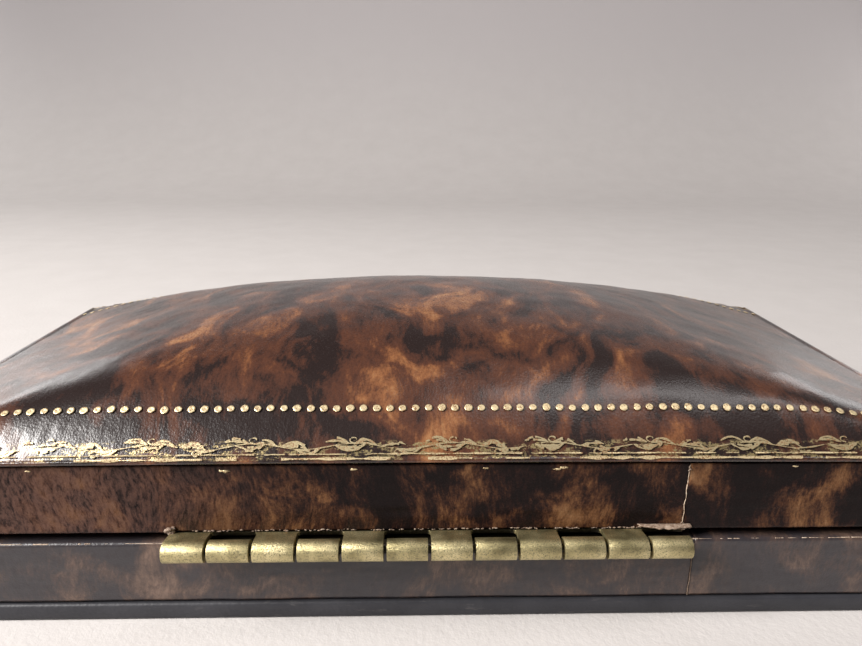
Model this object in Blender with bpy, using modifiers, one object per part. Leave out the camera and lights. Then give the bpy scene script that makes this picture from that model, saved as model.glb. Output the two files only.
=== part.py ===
"""Antique domed jewellery case: a wooden carcass covered in tree-calf leather, with a knuckled brass hinge
along the back and a push-button catch at the front. Metres, +Z up. The case stands on Z = 0, centred on X
and Y over its whole outline, with the hinge at +Y and the button at -Y."""

import math

import bmesh
import bpy
from mathutils import Matrix, Vector

MM = 0.001

# Lid top, the widest part of the case
WIDTH = 140 * MM
DEPTH = 65 * MM
LIP = 0.5 * MM  # the lid top overhangs the walls by this much all round
LIP_TOP = 22.3 * MM
LIP_BOTTOM = 21.7 * MM

# The dome is the softened lower one of two arched profiles, one across the depth and one along the width
DEPTH_ARCH = 14.85 * MM
DEPTH_ARCH_POWER = 0.92
WIDTH_ARCH = 16.4 * MM
WIDTH_ARCH_SHAPE = 1.5
WIDTH_ARCH_POWER = 1.2
HIP_SHARPNESS = 4
DRAWN_IN = 1 * MM
DOME_CELLS = (28, 20)
DOME_CELL = 3.25 * MM  # the least side of a cell

# Heights of the base and the lid
PLINTH_TOP = 2.36 * MM
BASE_BOTTOM = 2.66 * MM
BASE_TOP = 11.07 * MM
LID_BOTTOM = 12.3 * MM
RIM_TOP = 21.4 * MM

# Sheet and board thicknesses, and the gap kept between touching pieces
LEATHER = 0.7 * MM
GAP = 0.3 * MM
GLUE_GAP = 0.15 * MM
LAP = 0.01 * MM  # how far joined shapes run past each other, so that no faces coincide
WALL = 3 * MM
DOME_BOARD = 1.5 * MM
TURN_IN = 3 * MM
CORNER = 1.6 * MM
PLINTH_PROUD = 0.3 * MM
SEAM_X = -31.2 * MM
SEAM_WIDTH = 0.15 * MM

# Hinge
KNUCKLES = 12
HINGE_LENGTH = 63 * MM
KNUCKLE_GAP = 0.4 * MM
BARREL = 1.3 * MM
BORE = 0.6 * MM
PIN = 0.48 * MM
HINGE_Y = DEPTH / 2 + 2.1 * MM
HINGE_Z = 11.8 * MM
LEAF = 0.5 * MM
LEAF_OFFSET = 0.35 * MM  # from the hinge axis to the near face of each leaf
LEAF_INNER_Y = 28.8 * MM
NOTCH_Y = DEPTH / 2 - 0.45 * MM  # the notches between the knuckles end just outside the leather
NOTCH_CORNER = 0.45 * MM

# Push-button catch
BUTTON_Z = 6.9 * MM
BUTTON = 2.2 * MM
BUTTON_TRAVEL = 1.5 * MM
BUTTON_FRONT = -HINGE_Y - BARREL
BEZEL = 3.5 * MM
BEZEL_DEPTH = 1.0 * MM
STEM = 0.9 * MM
TONGUE_WIDTH = 5 * MM
TONGUE = 0.8 * MM
TONGUE_BOTTOM = 8.2 * MM
TOE = 0.7 * MM
BOLT_HALF_WIDTH = 2 * MM
BOLT_BELOW_BUTTON = 1.4 * MM
BOLT_SET_BACK = 0.8 * MM  # from the wall's inner face, and as thick
NOSE_HALF_WIDTH = 1.4 * MM
NOSE_REACH = 0.6 * MM
NOSE_ABOVE_TOE = 1.1 * MM
NOSE = 0.75 * MM
CASE_HALF_WIDTH = 5.5 * MM
CASE_DEPTH = 4.8 * MM
CASE_BELOW_BUTTON = 3.6 * MM
CASE_SHEET = 0.6 * MM
FLANGE_HALF_WIDTH = 7 * MM
FLANGE = 1.4 * MM
FLANGE_NAIL_X = 4.8 * MM

# Interior pads
LIP_STRIP = 0.8 * MM  # velvet-covered card that stands inside the base and locates the lid
LIP_STRIP_TOP = 13.8 * MM
PAD_TOP = 9.9 * MM
WELL = (104 * MM, 34 * MM)
WELL_CORNER = 6 * MM
WELL_FLOOR = 5.2 * MM
PAD_EDGE = 2.2 * MM  # the lid pad's thickness where the dome starts
NAIL_HEAD = 0.75 * MM
NAIL_HEAD_DEPTH = 0.27 * MM
NAIL_SHANK = 0.4 * MM
NAIL_HOLE = 0.55 * MM
NAIL_LENGTH = 4 * MM

FACE_X = WIDTH / 2 - LIP
FACE_Y = DEPTH / 2 - LIP
WALL_X = FACE_X - LEATHER - GLUE_GAP
WALL_Y = FACE_Y - LEATHER - GLUE_GAP
INSIDE_X = WALL_X - WALL
INSIDE_Y = WALL_Y - WALL
UPPER_LEAF_Z = HINGE_Z + LEAF_OFFSET
LOWER_LEAF_Z = HINGE_Z - LEAF_OFFSET - LEAF
PITCH = HINGE_LENGTH / KNUCKLES
TONGUE_Y = -INSIDE_Y - 0.3 * MM  # inner face of the tongue, in its groove in the wall

MATERIALS = {
    "tree_calf": ((0.11, 0.045, 0.028), 0.0, 0.3),
    "dark_paper": ((0.06, 0.055, 0.058), 0.0, 0.6),
    "wood": ((0.36, 0.24, 0.13), 0.0, 0.6),
    "brass": ((0.55, 0.44, 0.2), 1.0, 0.35),
    "velvet": ((0.1, 0.012, 0.02), 0.0, 0.9),
    "satin": ((0.75, 0.66, 0.5), 0.0, 0.4),
    "steel": ((0.5, 0.5, 0.5), 1.0, 0.35),
}


def clear_scene():
    for obj in list(bpy.data.objects):
        bpy.data.objects.remove(obj, do_unlink=True)


def make_collection(name):
    collection = bpy.data.collections.new(name)
    bpy.context.scene.collection.children.link(collection)
    return collection


def make_material(name):
    color, metallic, roughness = MATERIALS[name]
    found = bpy.data.materials.new(name)
    found.use_nodes = True
    shader = found.node_tree.nodes["Principled BSDF"]
    shader.inputs["Base Color"].default_value = (*color, 1)
    shader.inputs["Metallic"].default_value = metallic
    shader.inputs["Roughness"].default_value = roughness
    return found


def add_mesh(name, bm, material=None):
    """The object of this mesh. Without a material it is a cutter or a joined shape, which isn't a part."""
    bmesh.ops.recalc_face_normals(bm, faces=bm.faces)
    mesh = bpy.data.meshes.new(name)
    bm.to_mesh(mesh)
    bm.free()
    obj = bpy.data.objects.new(name, mesh)
    if material:
        mesh.materials.append(materials[material])
        parts.objects.link(obj)
    else:
        helpers.objects.link(obj)
        obj.hide_render = True
        obj.display_type = "WIRE"
    return obj


def smooth(obj, degrees=35):
    obj.data.shade_smooth()
    obj.data.set_sharp_from_angle(angle=math.radians(degrees))
    return obj


def bevel(obj, width, segments=2):
    modifier = obj.modifiers.new("bevel", "BEVEL")
    modifier.width = width
    modifier.segments = segments
    modifier.limit_method = "ANGLE"
    return obj


def boolean(obj, other, operation="DIFFERENCE"):
    modifier = obj.modifiers.new(operation.lower(), "BOOLEAN")
    modifier.operation = operation
    modifier.object = other
    modifier.solver = "EXACT"


def box_mesh(low, high):
    bm = bmesh.new()
    bmesh.ops.create_cube(bm, size=1)
    low, high = Vector(low), Vector(high)
    bmesh.ops.scale(bm, vec=high - low, verts=bm.verts)
    bmesh.ops.translate(bm, vec=(low + high) / 2, verts=bm.verts)
    return bm


def add_box(name, low, high, material=None):
    return add_mesh(name, box_mesh(low, high), material)


def add_rod(name, radius, start, end, material=None, segments=16):
    """A round rod from start to end."""
    start, end = Vector(start), Vector(end)
    bm = bmesh.new()
    length = (end - start).length
    bmesh.ops.create_cone(
        bm, cap_ends=True, segments=segments, radius1=radius, radius2=radius, depth=length
    )
    turn = Vector((0, 0, 1)).rotation_difference(end - start).to_matrix().to_4x4()
    bmesh.ops.transform(bm, matrix=Matrix.Translation((start + end) / 2) @ turn, verts=bm.verts)
    return add_mesh(name, bm, material)


def rounded_rectangle(half_x, half_y, radius, steps=4):
    """Outline of a rectangle with round corners, counter-clockwise from its right side."""
    points = []
    for corner, (side_x, side_y) in enumerate(((1, 1), (-1, 1), (-1, -1), (1, -1))):
        for step in range(steps + 1):
            angle = math.radians(90 * (corner + step / steps))
            points.append(
                (
                    side_x * (half_x - radius) + radius * math.cos(angle),
                    side_y * (half_y - radius) + radius * math.sin(angle),
                )
            )
    return points


def outline_mesh(outlines, depth):
    """A bmesh of flat outlines, the first the outside and the rest holes, extruded by depth about z = 0."""
    curve = bpy.data.curves.new("outline", "CURVE")
    curve.dimensions = "2D"
    curve.fill_mode = "BOTH"
    curve.extrude = depth / 2
    for points in outlines:
        spline = curve.splines.new("POLY")
        spline.points.add(len(points) - 1)
        for point, (x, y) in zip(spline.points, points):
            point.co = (x, y, 0, 1)
        spline.use_cyclic_u = True
    obj = bpy.data.objects.new("outline", curve)
    helpers.objects.link(obj)
    graph = bpy.context.evaluated_depsgraph_get()
    mesh = bpy.data.meshes.new_from_object(obj.evaluated_get(graph))
    bm = bmesh.new()
    bm.from_mesh(mesh)
    bmesh.ops.remove_doubles(bm, verts=bm.verts, dist=1e-7)
    bpy.data.objects.remove(obj, do_unlink=True)
    bpy.data.curves.remove(curve)
    bpy.data.meshes.remove(mesh)
    return bm


def add_plate(name, outlines, bottom, top, material=None):
    bm = outline_mesh(outlines, top - bottom)
    bmesh.ops.translate(bm, vec=(0, 0, (bottom + top) / 2), verts=bm.verts)
    return add_mesh(name, bm, material)


def dome_height(x, y):
    """How far the dome stands above its edge."""
    across = max(1 - (2 * y / DEPTH) ** 2, 0)
    along = max(1 - abs(2 * x / WIDTH) ** WIDTH_ARCH_SHAPE, 0)
    over_depth = DEPTH_ARCH * across**DEPTH_ARCH_POWER
    over_width = WIDTH_ARCH * along**WIDTH_ARCH_POWER
    if min(over_depth, over_width) < 1e-6:
        return 0.0
    return (over_depth**-HIP_SHARPNESS + over_width**-HIP_SHARPNESS) ** (-1 / HIP_SHARPNESS)


def inner_dome_height(x, y):
    """The dome's height for the layers inside it, drawn in a little from the leather's steep edges."""
    return dome_height(x + math.copysign(DRAWN_IN, x), y + math.copysign(DRAWN_IN, y))


def add_dome_sheet(name, half_x, half_y, top, bottom, material):
    """A sheet over a rectangle, on the grid that all the dome's layers share, so that none cuts the next.
    top and bottom give its two surfaces' heights at x, y."""
    bm = bmesh.new()
    bmesh.ops.create_grid(bm, x_segments=DOME_CELLS[0], y_segments=DOME_CELLS[1], size=1)
    bmesh.ops.scale(bm, vec=(WIDTH / 2, DEPTH / 2, 1), verts=bm.verts)
    reach_x = half_x + DOME_CELL
    reach_y = half_y + DOME_CELL
    outside = [vert for vert in bm.verts if abs(vert.co.x) > reach_x or abs(vert.co.y) > reach_y]
    bmesh.ops.delete(bm, geom=outside, context="VERTS")
    for vert in bm.verts:
        vert.co.x = max(-half_x, min(half_x, vert.co.x))
        vert.co.y = max(-half_y, min(half_y, vert.co.y))
    bmesh.ops.triangulate(bm, faces=bm.faces, quad_method="FIXED")
    under = bmesh.ops.extrude_face_region(bm, geom=bm.faces[:])["geom"]
    under = {item for item in under if isinstance(item, bmesh.types.BMVert)}
    for vert in bm.verts:
        surface = bottom if vert in under else top
        vert.co.z = surface(vert.co.x, vert.co.y)
    return smooth(add_mesh(name, bm, material))


def add_walls(prefix, bottom, top):
    """Four butted wooden walls: front and back run the full width, the sides fit between them."""
    side_y = INSIDE_Y - GAP
    walls = {
        "front": ((-WALL_X, -WALL_Y, bottom), (WALL_X, -INSIDE_Y, top)),
        "back": ((-WALL_X, INSIDE_Y, bottom), (WALL_X, WALL_Y, top)),
        "left": ((-WALL_X, -side_y, bottom), (-INSIDE_X, side_y, top)),
        "right": ((INSIDE_X, -side_y, bottom), (WALL_X, side_y, top)),
    }
    return {side: add_box(f"{prefix}_wall_{side}", *ends, "wood") for side, ends in walls.items()}


def add_leather_band(name, bottom, top, turn_in_at_top):
    """A strip of leather round the walls, turned in over their free edge, its ends butted at the back."""
    band = add_plate(name, [rounded_rectangle(FACE_X, FACE_Y, CORNER)], bottom, top, "tree_calf")
    inner = rounded_rectangle(WALL_X + GLUE_GAP, WALL_Y + GLUE_GAP, 0.1 * MM, steps=1)
    edge_x = WALL_X - TURN_IN
    edge_y = WALL_Y - TURN_IN
    mouth = rounded_rectangle(edge_x, edge_y, CORNER / 2)
    if turn_in_at_top:
        hollow = add_plate(name + "_hollow", [inner], bottom - MM, top - LEATHER)
    else:
        hollow = add_plate(name + "_hollow", [inner], bottom + LEATHER, top + MM)
    boolean(band, hollow)
    boolean(band, add_plate(name + "_mouth", [mouth], bottom - 2 * MM, top + 2 * MM))
    seam = add_box(
        name + "_seam",
        (SEAM_X - SEAM_WIDTH / 2, edge_y - MM, bottom - MM),
        (SEAM_X + SEAM_WIDTH / 2, FACE_Y + MM, top + MM),
    )
    boolean(band, seam)
    return band


def knuckle_outline(side):
    """Section of one knuckle in (y, z) from the axis: a tube whose outside runs straight off along its leaf.
    side is +1 for the leaf above the axis and -1 for the one below."""
    near = LEAF_OFFSET + LAP
    far = LEAF_OFFSET + LEAF + LAP
    edge = NOTCH_Y - HINGE_Y - LAP
    start = math.atan2(far, edge) - math.acos(BARREL / math.hypot(edge, far))
    end = -math.pi - math.asin(near / BARREL)
    steps = 20
    points = [(edge, side * near), (edge, side * far)]
    for step in range(steps + 1):
        angle = start + (end - start) * step / steps
        points.append((BARREL * math.cos(angle), side * BARREL * math.sin(angle)))
    return points


def circle(radius, steps):
    turn = 2 * math.pi / steps
    return [(radius * math.cos(turn * n), radius * math.sin(turn * n)) for n in range(steps)]


def knuckle_centres(first):
    """X of every second knuckle along the hinge, from the first one at the +X end."""
    return [HINGE_LENGTH / 2 - PITCH * (n + 0.5) for n in range(first, KNUCKLES, 2)]


def leaf_outline(centres):
    """Plan of one leaf: a strip with a finger at each knuckle, the notches' inner corners rounded."""
    half = HINGE_LENGTH / 2 - KNUCKLE_GAP / 2
    finger = PITCH / 2 - KNUCKLE_GAP / 2
    tip = HINGE_Y - BARREL * 0.7
    points = [(-half, LEAF_INNER_Y), (half, LEAF_INNER_Y)]
    for x in sorted(centres, reverse=True):
        for side in (1, -1):
            edge = x + side * finger
            arc = []
            if abs(edge) < half - MM:
                for step in range(4):
                    angle = math.radians(30 * step)
                    out = NOTCH_CORNER * (1 - math.sin(angle))
                    up = NOTCH_CORNER * (1 - math.cos(angle))
                    arc.append((edge + side * out, NOTCH_Y + up))
            if side == 1:
                if not arc:
                    points.append((edge, NOTCH_Y))
                points += arc + [(edge, tip)]
            else:
                points += [(edge, tip)] + (arc[::-1] or [(edge, NOTCH_Y)])
    if points[-1][0] > -half + MM:
        points.append((-half, NOTCH_Y))
    if points[2][0] < half - MM:
        points.insert(2, (half, NOTCH_Y))
    return points


def add_leaf(name, first, side):
    centres = knuckle_centres(first)
    bottom = UPPER_LEAF_Z if side > 0 else LOWER_LEAF_Z
    leaf = add_plate(name, [leaf_outline(centres)], bottom, bottom + LEAF, "brass")
    stand = Matrix(((0, 0, 1, 0), (1, 0, 0, HINGE_Y), (0, 1, 0, HINGE_Z), (0, 0, 0, 1)))
    for number, x in enumerate(centres):
        bm = outline_mesh([knuckle_outline(side), circle(BORE, 12)], PITCH - KNUCKLE_GAP - LAP)
        bmesh.ops.transform(bm, matrix=Matrix.Translation((x, 0, 0)) @ stand, verts=bm.verts)
        boolean(leaf, add_mesh(f"{name}_knuckle_{number}", bm), "UNION")
    return smooth(leaf)


def drill_nail(name, x, y, face_z, up, through, into, material="brass"):
    """A nail with its head against face_z, driven up or down. through is the plate and into the wood."""
    away = -1 if up else 1
    reach = -away * NAIL_LENGTH

    def rod_along_nail(part_name, radius, start, end, rod_material=None):
        return add_rod(part_name, radius, (x, y, face_z + start), (x, y, face_z + end), rod_material, 12)

    nail = rod_along_nail(name, NAIL_SHANK, away * 2 * LAP, reach, material)
    head = rod_along_nail(name + "_head", NAIL_HEAD, away * LAP, away * NAIL_HEAD_DEPTH)
    boolean(nail, head, "UNION")
    hole = rod_along_nail(name + "_hole", NAIL_HOLE, away * MM, reach - away * GAP)
    for obj in (through, into):
        boolean(obj, hole)
    return nail


def build_base():
    board = add_plate(
        "bottom_board",
        [rounded_rectangle(FACE_X + PLINTH_PROUD, FACE_Y + PLINTH_PROUD, CORNER)],
        0,
        PLINTH_TOP,
        "dark_paper",
    )
    pocket = (FACE_X - 3 * MM, FACE_Y - 3 * MM)
    cutter = add_plate("board_pocket", [rounded_rectangle(*pocket, CORNER)], -MM, 0.8 * MM)
    boolean(board, cutter)
    cover = rounded_rectangle(pocket[0] - GAP, pocket[1] - GAP, CORNER)
    add_plate("underside_cover", [cover], 0, 0.5 * MM, "dark_paper")

    walls = add_walls("base", BASE_BOTTOM, BASE_TOP - LEATHER - GLUE_GAP)
    band = add_leather_band("base_leather_band", BASE_BOTTOM, BASE_TOP, turn_in_at_top=True)
    leaf = add_leaf("hinge_lower_leaf", 1, -1)
    half = HINGE_LENGTH / 2 + GAP
    seat = add_box(
        "lower_leaf_seat",
        (-half, LEAF_INNER_Y - GAP, LOWER_LEAF_Z - GLUE_GAP),
        (half, FACE_Y + MM, BASE_TOP + MM),
    )
    boolean(band, seat)
    for number, x in enumerate((-4 * PITCH, 0, 4 * PITCH), start=1):
        nail_y = WALL_Y - WALL * 0.4
        nail = drill_nail(
            f"lower_leaf_nail_{number}", x, nail_y, LOWER_LEAF_Z + LEAF, False, leaf, walls["back"]
        )
        boolean(band, bpy.data.objects[nail.name + "_hole"])
    pin_half = HINGE_LENGTH / 2 - 0.1 * MM
    pin_ends = [(end, HINGE_Y, HINGE_Z) for end in (-pin_half, pin_half)]
    smooth(add_rod("hinge_pin", PIN, *pin_ends, "steel", 14))
    return walls, band


def build_pads():
    outer = rounded_rectangle(INSIDE_X - GAP, INSIDE_Y - GAP, 0.5 * MM)
    inner = rounded_rectangle(INSIDE_X - GAP - LIP_STRIP, INSIDE_Y - GAP - LIP_STRIP, 0.5 * MM)
    strip = add_plate("base_lip", [outer, inner], BASE_BOTTOM, LIP_STRIP_TOP, "velvet")
    edge = rounded_rectangle(INSIDE_X - 2 * GAP - LIP_STRIP, INSIDE_Y - 2 * GAP - LIP_STRIP, MM)
    well = rounded_rectangle(WELL[0] / 2, WELL[1] / 2, WELL_CORNER)
    surround = add_plate("velvet_surround", [edge, well], BASE_BOTTOM, PAD_TOP, "velvet")
    case_room = add_box(
        "catch_case_room",
        (-CASE_HALF_WIDTH - 2 * GAP, -INSIDE_Y - MM, BASE_BOTTOM - MM),
        (CASE_HALF_WIDTH + 2 * GAP, -INSIDE_Y + CASE_DEPTH + GAP, LIP_STRIP_TOP + MM),
    )
    boolean(surround, case_room)
    boolean(strip, case_room)
    floor = rounded_rectangle(WELL[0] / 2 - GAP, WELL[1] / 2 - GAP, WELL_CORNER - GAP)
    add_plate("well_cushion", [floor], BASE_BOTTOM, WELL_FLOOR, "velvet")


def build_catch(front_wall, band):
    """The button's stem runs through the front wall to a bolt whose nose holds the lid's hook."""
    face = -FACE_Y

    def rod_along_button(name, radius, start, end, material=None, segments=28):
        return add_rod(name, radius, (0, start, BUTTON_Z), (0, end, BUTTON_Z), material, segments)

    bore = rod_along_button("stem_bore", STEM + GAP, face - MM, -INSIDE_Y + MM, segments=16)
    boolean(front_wall, bore)
    boolean(band, bore)
    groove = add_box(
        "tongue_groove",
        (-TONGUE_WIDTH / 2 - GAP, TONGUE_Y - TONGUE - GAP, TONGUE_BOTTOM - GAP),
        (TONGUE_WIDTH / 2 + GAP, -INSIDE_Y + MM, BASE_TOP + MM),
    )
    boolean(front_wall, groove)
    boolean(band, groove)

    bezel_front = face - BEZEL_DEPTH
    bezel = smooth(rod_along_button("button_bezel", BEZEL, face - GLUE_GAP, bezel_front, "brass", 32))
    bevel(bezel, 0.4 * MM, 3)
    boolean(bezel, rod_along_button("bezel_bore", BUTTON + GLUE_GAP, bezel_front - MM, face + MM))

    bolt_y = -INSIDE_Y + BOLT_SET_BACK
    head_back = face - GLUE_GAP - BUTTON_TRAVEL
    button = smooth(rod_along_button("push_button", BUTTON, BUTTON_FRONT, head_back, "brass"))
    bevel(button, 0.6 * MM, 3)
    stem = rod_along_button("button_stem", STEM, head_back - MM, bolt_y - GLUE_GAP, segments=14)
    boolean(button, stem, "UNION")

    bolt_back = bolt_y + BOLT_SET_BACK
    nose_bottom = TONGUE_BOTTOM + NOSE_ABOVE_TOE
    bolt = add_box(
        "catch_bolt",
        (-BOLT_HALF_WIDTH, bolt_y, BUTTON_Z - BOLT_BELOW_BUTTON),
        (BOLT_HALF_WIDTH, bolt_back, nose_bottom + NOSE + 5 * LAP),
        "steel",
    )
    nose = add_box(
        "bolt_nose",
        (-NOSE_HALF_WIDTH, bolt_y - NOSE_REACH, nose_bottom),
        (NOSE_HALF_WIDTH, bolt_y + BOLT_SET_BACK / 2, nose_bottom + NOSE),
    )
    boolean(bolt, nose, "UNION")

    case_back = -INSIDE_Y + CASE_DEPTH
    case_bottom = BUTTON_Z - CASE_BELOW_BUTTON
    hollow_half = CASE_HALF_WIDTH - CASE_SHEET
    case = add_box(
        "catch_case",
        (-CASE_HALF_WIDTH, -INSIDE_Y + GAP, case_bottom),
        (CASE_HALF_WIDTH, case_back, BASE_TOP - MM),
        "brass",
    )
    case_room = add_box(
        "catch_case_hollow",
        (-hollow_half, -INSIDE_Y - MM, case_bottom + CASE_SHEET),
        (hollow_half, case_back - CASE_SHEET, BASE_TOP + MM),
    )
    boolean(case, case_room)
    add_spring(bolt_back + GLUE_GAP, case_back - CASE_SHEET - GLUE_GAP)


def add_spring(start, end, turns=4, wire=0.15 * MM, radius=1.1 * MM):
    """A small coil between the bolt and the back of the catch case."""
    curve = bpy.data.curves.new("catch_spring", "CURVE")
    curve.dimensions = "3D"
    curve.bevel_depth = wire
    curve.bevel_resolution = 1
    curve.use_fill_caps = True
    steps = turns * 10
    spline = curve.splines.new("POLY")
    spline.points.add(steps)
    for number, point in enumerate(spline.points):
        angle = 2 * math.pi * turns * number / steps
        along = start + wire + (end - start - 2 * wire) * number / steps
        point.co = (radius * math.cos(angle), along, BUTTON_Z + radius * math.sin(angle), 1)
    curve.materials.append(materials["steel"])
    parts.objects.link(bpy.data.objects.new("catch_spring", curve))


def build_lid():
    board_top = LIP_BOTTOM - GAP
    walls = add_walls("lid", LID_BOTTOM + LEATHER + GLUE_GAP, board_top - DOME_BOARD - GAP)
    rim = add_leather_band("lid_rim_leather", LID_BOTTOM, RIM_TOP, turn_in_at_top=False)
    add_dome_sheet(
        "lid_top_leather",
        WIDTH / 2,
        DEPTH / 2,
        lambda x, y: LIP_TOP + dome_height(x, y),
        lambda x, y: LIP_BOTTOM + dome_height(x, y),
        "tree_calf",
    )
    add_dome_sheet(
        "lid_dome_board",
        WALL_X,
        WALL_Y,
        lambda x, y: board_top + inner_dome_height(x, y),
        lambda x, y: board_top - DOME_BOARD + inner_dome_height(x, y),
        "wood",
    )
    pad_top = board_top - DOME_BOARD - 2 * GAP
    add_dome_sheet(
        "lid_satin_pad",
        INSIDE_X - GAP,
        INSIDE_Y - GAP,
        lambda x, y: pad_top + inner_dome_height(x, y),
        lambda x, y: pad_top - PAD_EDGE + 0.85 * inner_dome_height(x, y),
        "satin",
    )
    build_lid_lining()
    leaf = add_leaf("hinge_upper_leaf", 0, 1)
    half = HINGE_LENGTH / 2 + GAP
    seat = add_box(
        "upper_leaf_seat",
        (-half, LEAF_INNER_Y - GAP, LID_BOTTOM - MM),
        (half, FACE_Y + MM, UPPER_LEAF_Z + LEAF + GLUE_GAP),
    )
    boolean(rim, seat)
    for number, x in enumerate((-3 * PITCH, PITCH, 5 * PITCH), start=1):
        nail_y = WALL_Y - WALL * 0.4
        nail = drill_nail(f"upper_leaf_nail_{number}", x, nail_y, UPPER_LEAF_Z, True, leaf, walls["back"])
        boolean(rim, bpy.data.objects[nail.name + "_hole"])
    build_hook(walls["front"], rim)


def build_lid_lining():
    """A satin-covered strip round the inside of the lid's walls, between the base's lip and the pad."""
    bottom = LIP_STRIP_TOP + GAP
    top = LIP_BOTTOM - DOME_BOARD - PAD_EDGE - 4 * GAP
    outer = rounded_rectangle(INSIDE_X - GAP, INSIDE_Y - GAP, MM)
    inner = rounded_rectangle(INSIDE_X - GAP - 0.8 * MM, INSIDE_Y - GAP - 0.8 * MM, MM)
    add_plate("lid_lining", [outer, inner], bottom, top, "satin")


def build_hook(front_wall, rim):
    """The lid's brass hook: a flange let into the rim, and a tongue with a toe for the bolt's nose."""
    flange_z = UPPER_LEAF_Z
    tongue_outer = TONGUE_Y - TONGUE
    hook = add_box(
        "catch_hook",
        (-FLANGE_HALF_WIDTH, tongue_outer - FLANGE, flange_z),
        (FLANGE_HALF_WIDTH, TONGUE_Y, flange_z + LEAF),
        "brass",
    )
    tongue = add_box(
        "hook_tongue",
        (-TONGUE_WIDTH / 2, tongue_outer, TONGUE_BOTTOM),
        (TONGUE_WIDTH / 2, TONGUE_Y - 2 * LAP, flange_z + LEAF / 2),
    )
    toe = add_box(
        "hook_toe",
        (-TONGUE_WIDTH / 2 + 2 * LAP, tongue_outer + 10 * LAP, TONGUE_BOTTOM + 2 * LAP),
        (TONGUE_WIDTH / 2 - 2 * LAP, -INSIDE_Y + 5 * LAP, TONGUE_BOTTOM + TOE),
    )
    boolean(hook, tongue, "UNION")
    boolean(hook, toe, "UNION")
    seat = add_box(
        "hook_seat",
        (-FLANGE_HALF_WIDTH - GAP, tongue_outer - FLANGE - GAP, LID_BOTTOM - MM),
        (FLANGE_HALF_WIDTH + GAP, -INSIDE_Y + MM, flange_z + LEAF + GLUE_GAP),
    )
    boolean(rim, seat)
    nail_y = tongue_outer - FLANGE / 7
    for number, x in enumerate((-FLANGE_NAIL_X, FLANGE_NAIL_X), start=1):
        nail = drill_nail(f"hook_nail_{number}", x, nail_y, flange_z, True, hook, front_wall)
        boolean(rim, bpy.data.objects[nail.name + "_hole"])


def hang(names, pivot_name, place):
    """Parents the named parts to an empty that stands on their joint's axis."""
    pivot = bpy.data.objects.new(pivot_name, None)
    pivot.location = place
    parts.objects.link(pivot)
    bpy.context.view_layer.update()
    for name in names:
        obj = bpy.data.objects[name]
        obj.parent = pivot
        obj.matrix_parent_inverse = pivot.matrix_world.inverted()


clear_scene()
parts = make_collection("leather_jewellery_case")
helpers = make_collection("cutters")
materials = {name: make_material(name) for name in MATERIALS}
base_walls, base_band = build_base()
build_pads()
build_catch(base_walls["front"], base_band)
build_lid()
lid_starts = ("lid_", "upper_leaf_nail", "hook_nail", "catch_hook", "hinge_upper")
lid_names = [obj.name for obj in parts.objects if obj.name.startswith(lid_starts)]
hang(lid_names, "lid_pivot", (0, HINGE_Y, HINGE_Z))
hang(("push_button", "catch_bolt"), "button_slide", (0, BUTTON_FRONT, BUTTON_Z))
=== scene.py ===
"""Looks for the leather jewellery case: tree-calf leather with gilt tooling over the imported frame, an aged
brass hinge, and the velvet and satin inside. Metres, +Z up; the hinge is at +Y and the button at -Y."""

import math
import random

import bmesh
import bpy
import numpy as np
from mathutils import Matrix, Vector, noise


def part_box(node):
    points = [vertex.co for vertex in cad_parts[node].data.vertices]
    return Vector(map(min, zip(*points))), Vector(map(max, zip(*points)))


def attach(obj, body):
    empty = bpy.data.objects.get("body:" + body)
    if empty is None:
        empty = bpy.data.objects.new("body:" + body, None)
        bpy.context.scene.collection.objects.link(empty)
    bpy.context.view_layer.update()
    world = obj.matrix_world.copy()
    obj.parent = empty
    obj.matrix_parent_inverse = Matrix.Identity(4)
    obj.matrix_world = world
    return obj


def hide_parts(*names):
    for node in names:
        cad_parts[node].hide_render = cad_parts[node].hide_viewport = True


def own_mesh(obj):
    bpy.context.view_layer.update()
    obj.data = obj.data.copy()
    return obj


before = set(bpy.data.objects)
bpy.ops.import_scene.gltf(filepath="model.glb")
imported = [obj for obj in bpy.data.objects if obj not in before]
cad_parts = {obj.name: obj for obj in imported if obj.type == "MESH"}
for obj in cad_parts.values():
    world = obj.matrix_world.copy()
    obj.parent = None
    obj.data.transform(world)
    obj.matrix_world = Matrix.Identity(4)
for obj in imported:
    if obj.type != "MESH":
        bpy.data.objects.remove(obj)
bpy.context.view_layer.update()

MM = 0.001

# Sizes read from the frame
TOP_LOW, TOP_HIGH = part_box("lid_top_leather")
RIM_LOW, RIM_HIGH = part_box("lid_rim_leather")
BAND_LOW, BAND_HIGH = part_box("base_leather_band")
HALF_WIDTH = TOP_HIGH.x
HALF_DEPTH = TOP_HIGH.y
FACE_X = RIM_HIGH.x
FACE_Y = RIM_HIGH.y
LIP_BOTTOM = TOP_LOW.z
HINGE_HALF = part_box("hinge_upper_leaf")[1].x
PIN_RADIUS = 0.48 * MM
HINGE_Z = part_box("hinge_pin")[1].z - PIN_RADIUS

# The leather top: a softened lower one of two arches, as in the CAD model
TOP_SHEET = 0.6 * MM
LIP_TOP = LIP_BOTTOM + TOP_SHEET
DEPTH_ARCH = 14.85 * MM
DEPTH_ARCH_POWER = 0.92
WIDTH_ARCH = 16.4 * MM
WIDTH_ARCH_SHAPE = 1.5
WIDTH_ARCH_POWER = 1.2
HIP_SHARPNESS = 4
LIP_BOW = 0.35 * MM  # the long edges of the lid's top rise this much in the middle
TOP_CELL = 0.45 * MM

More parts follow.
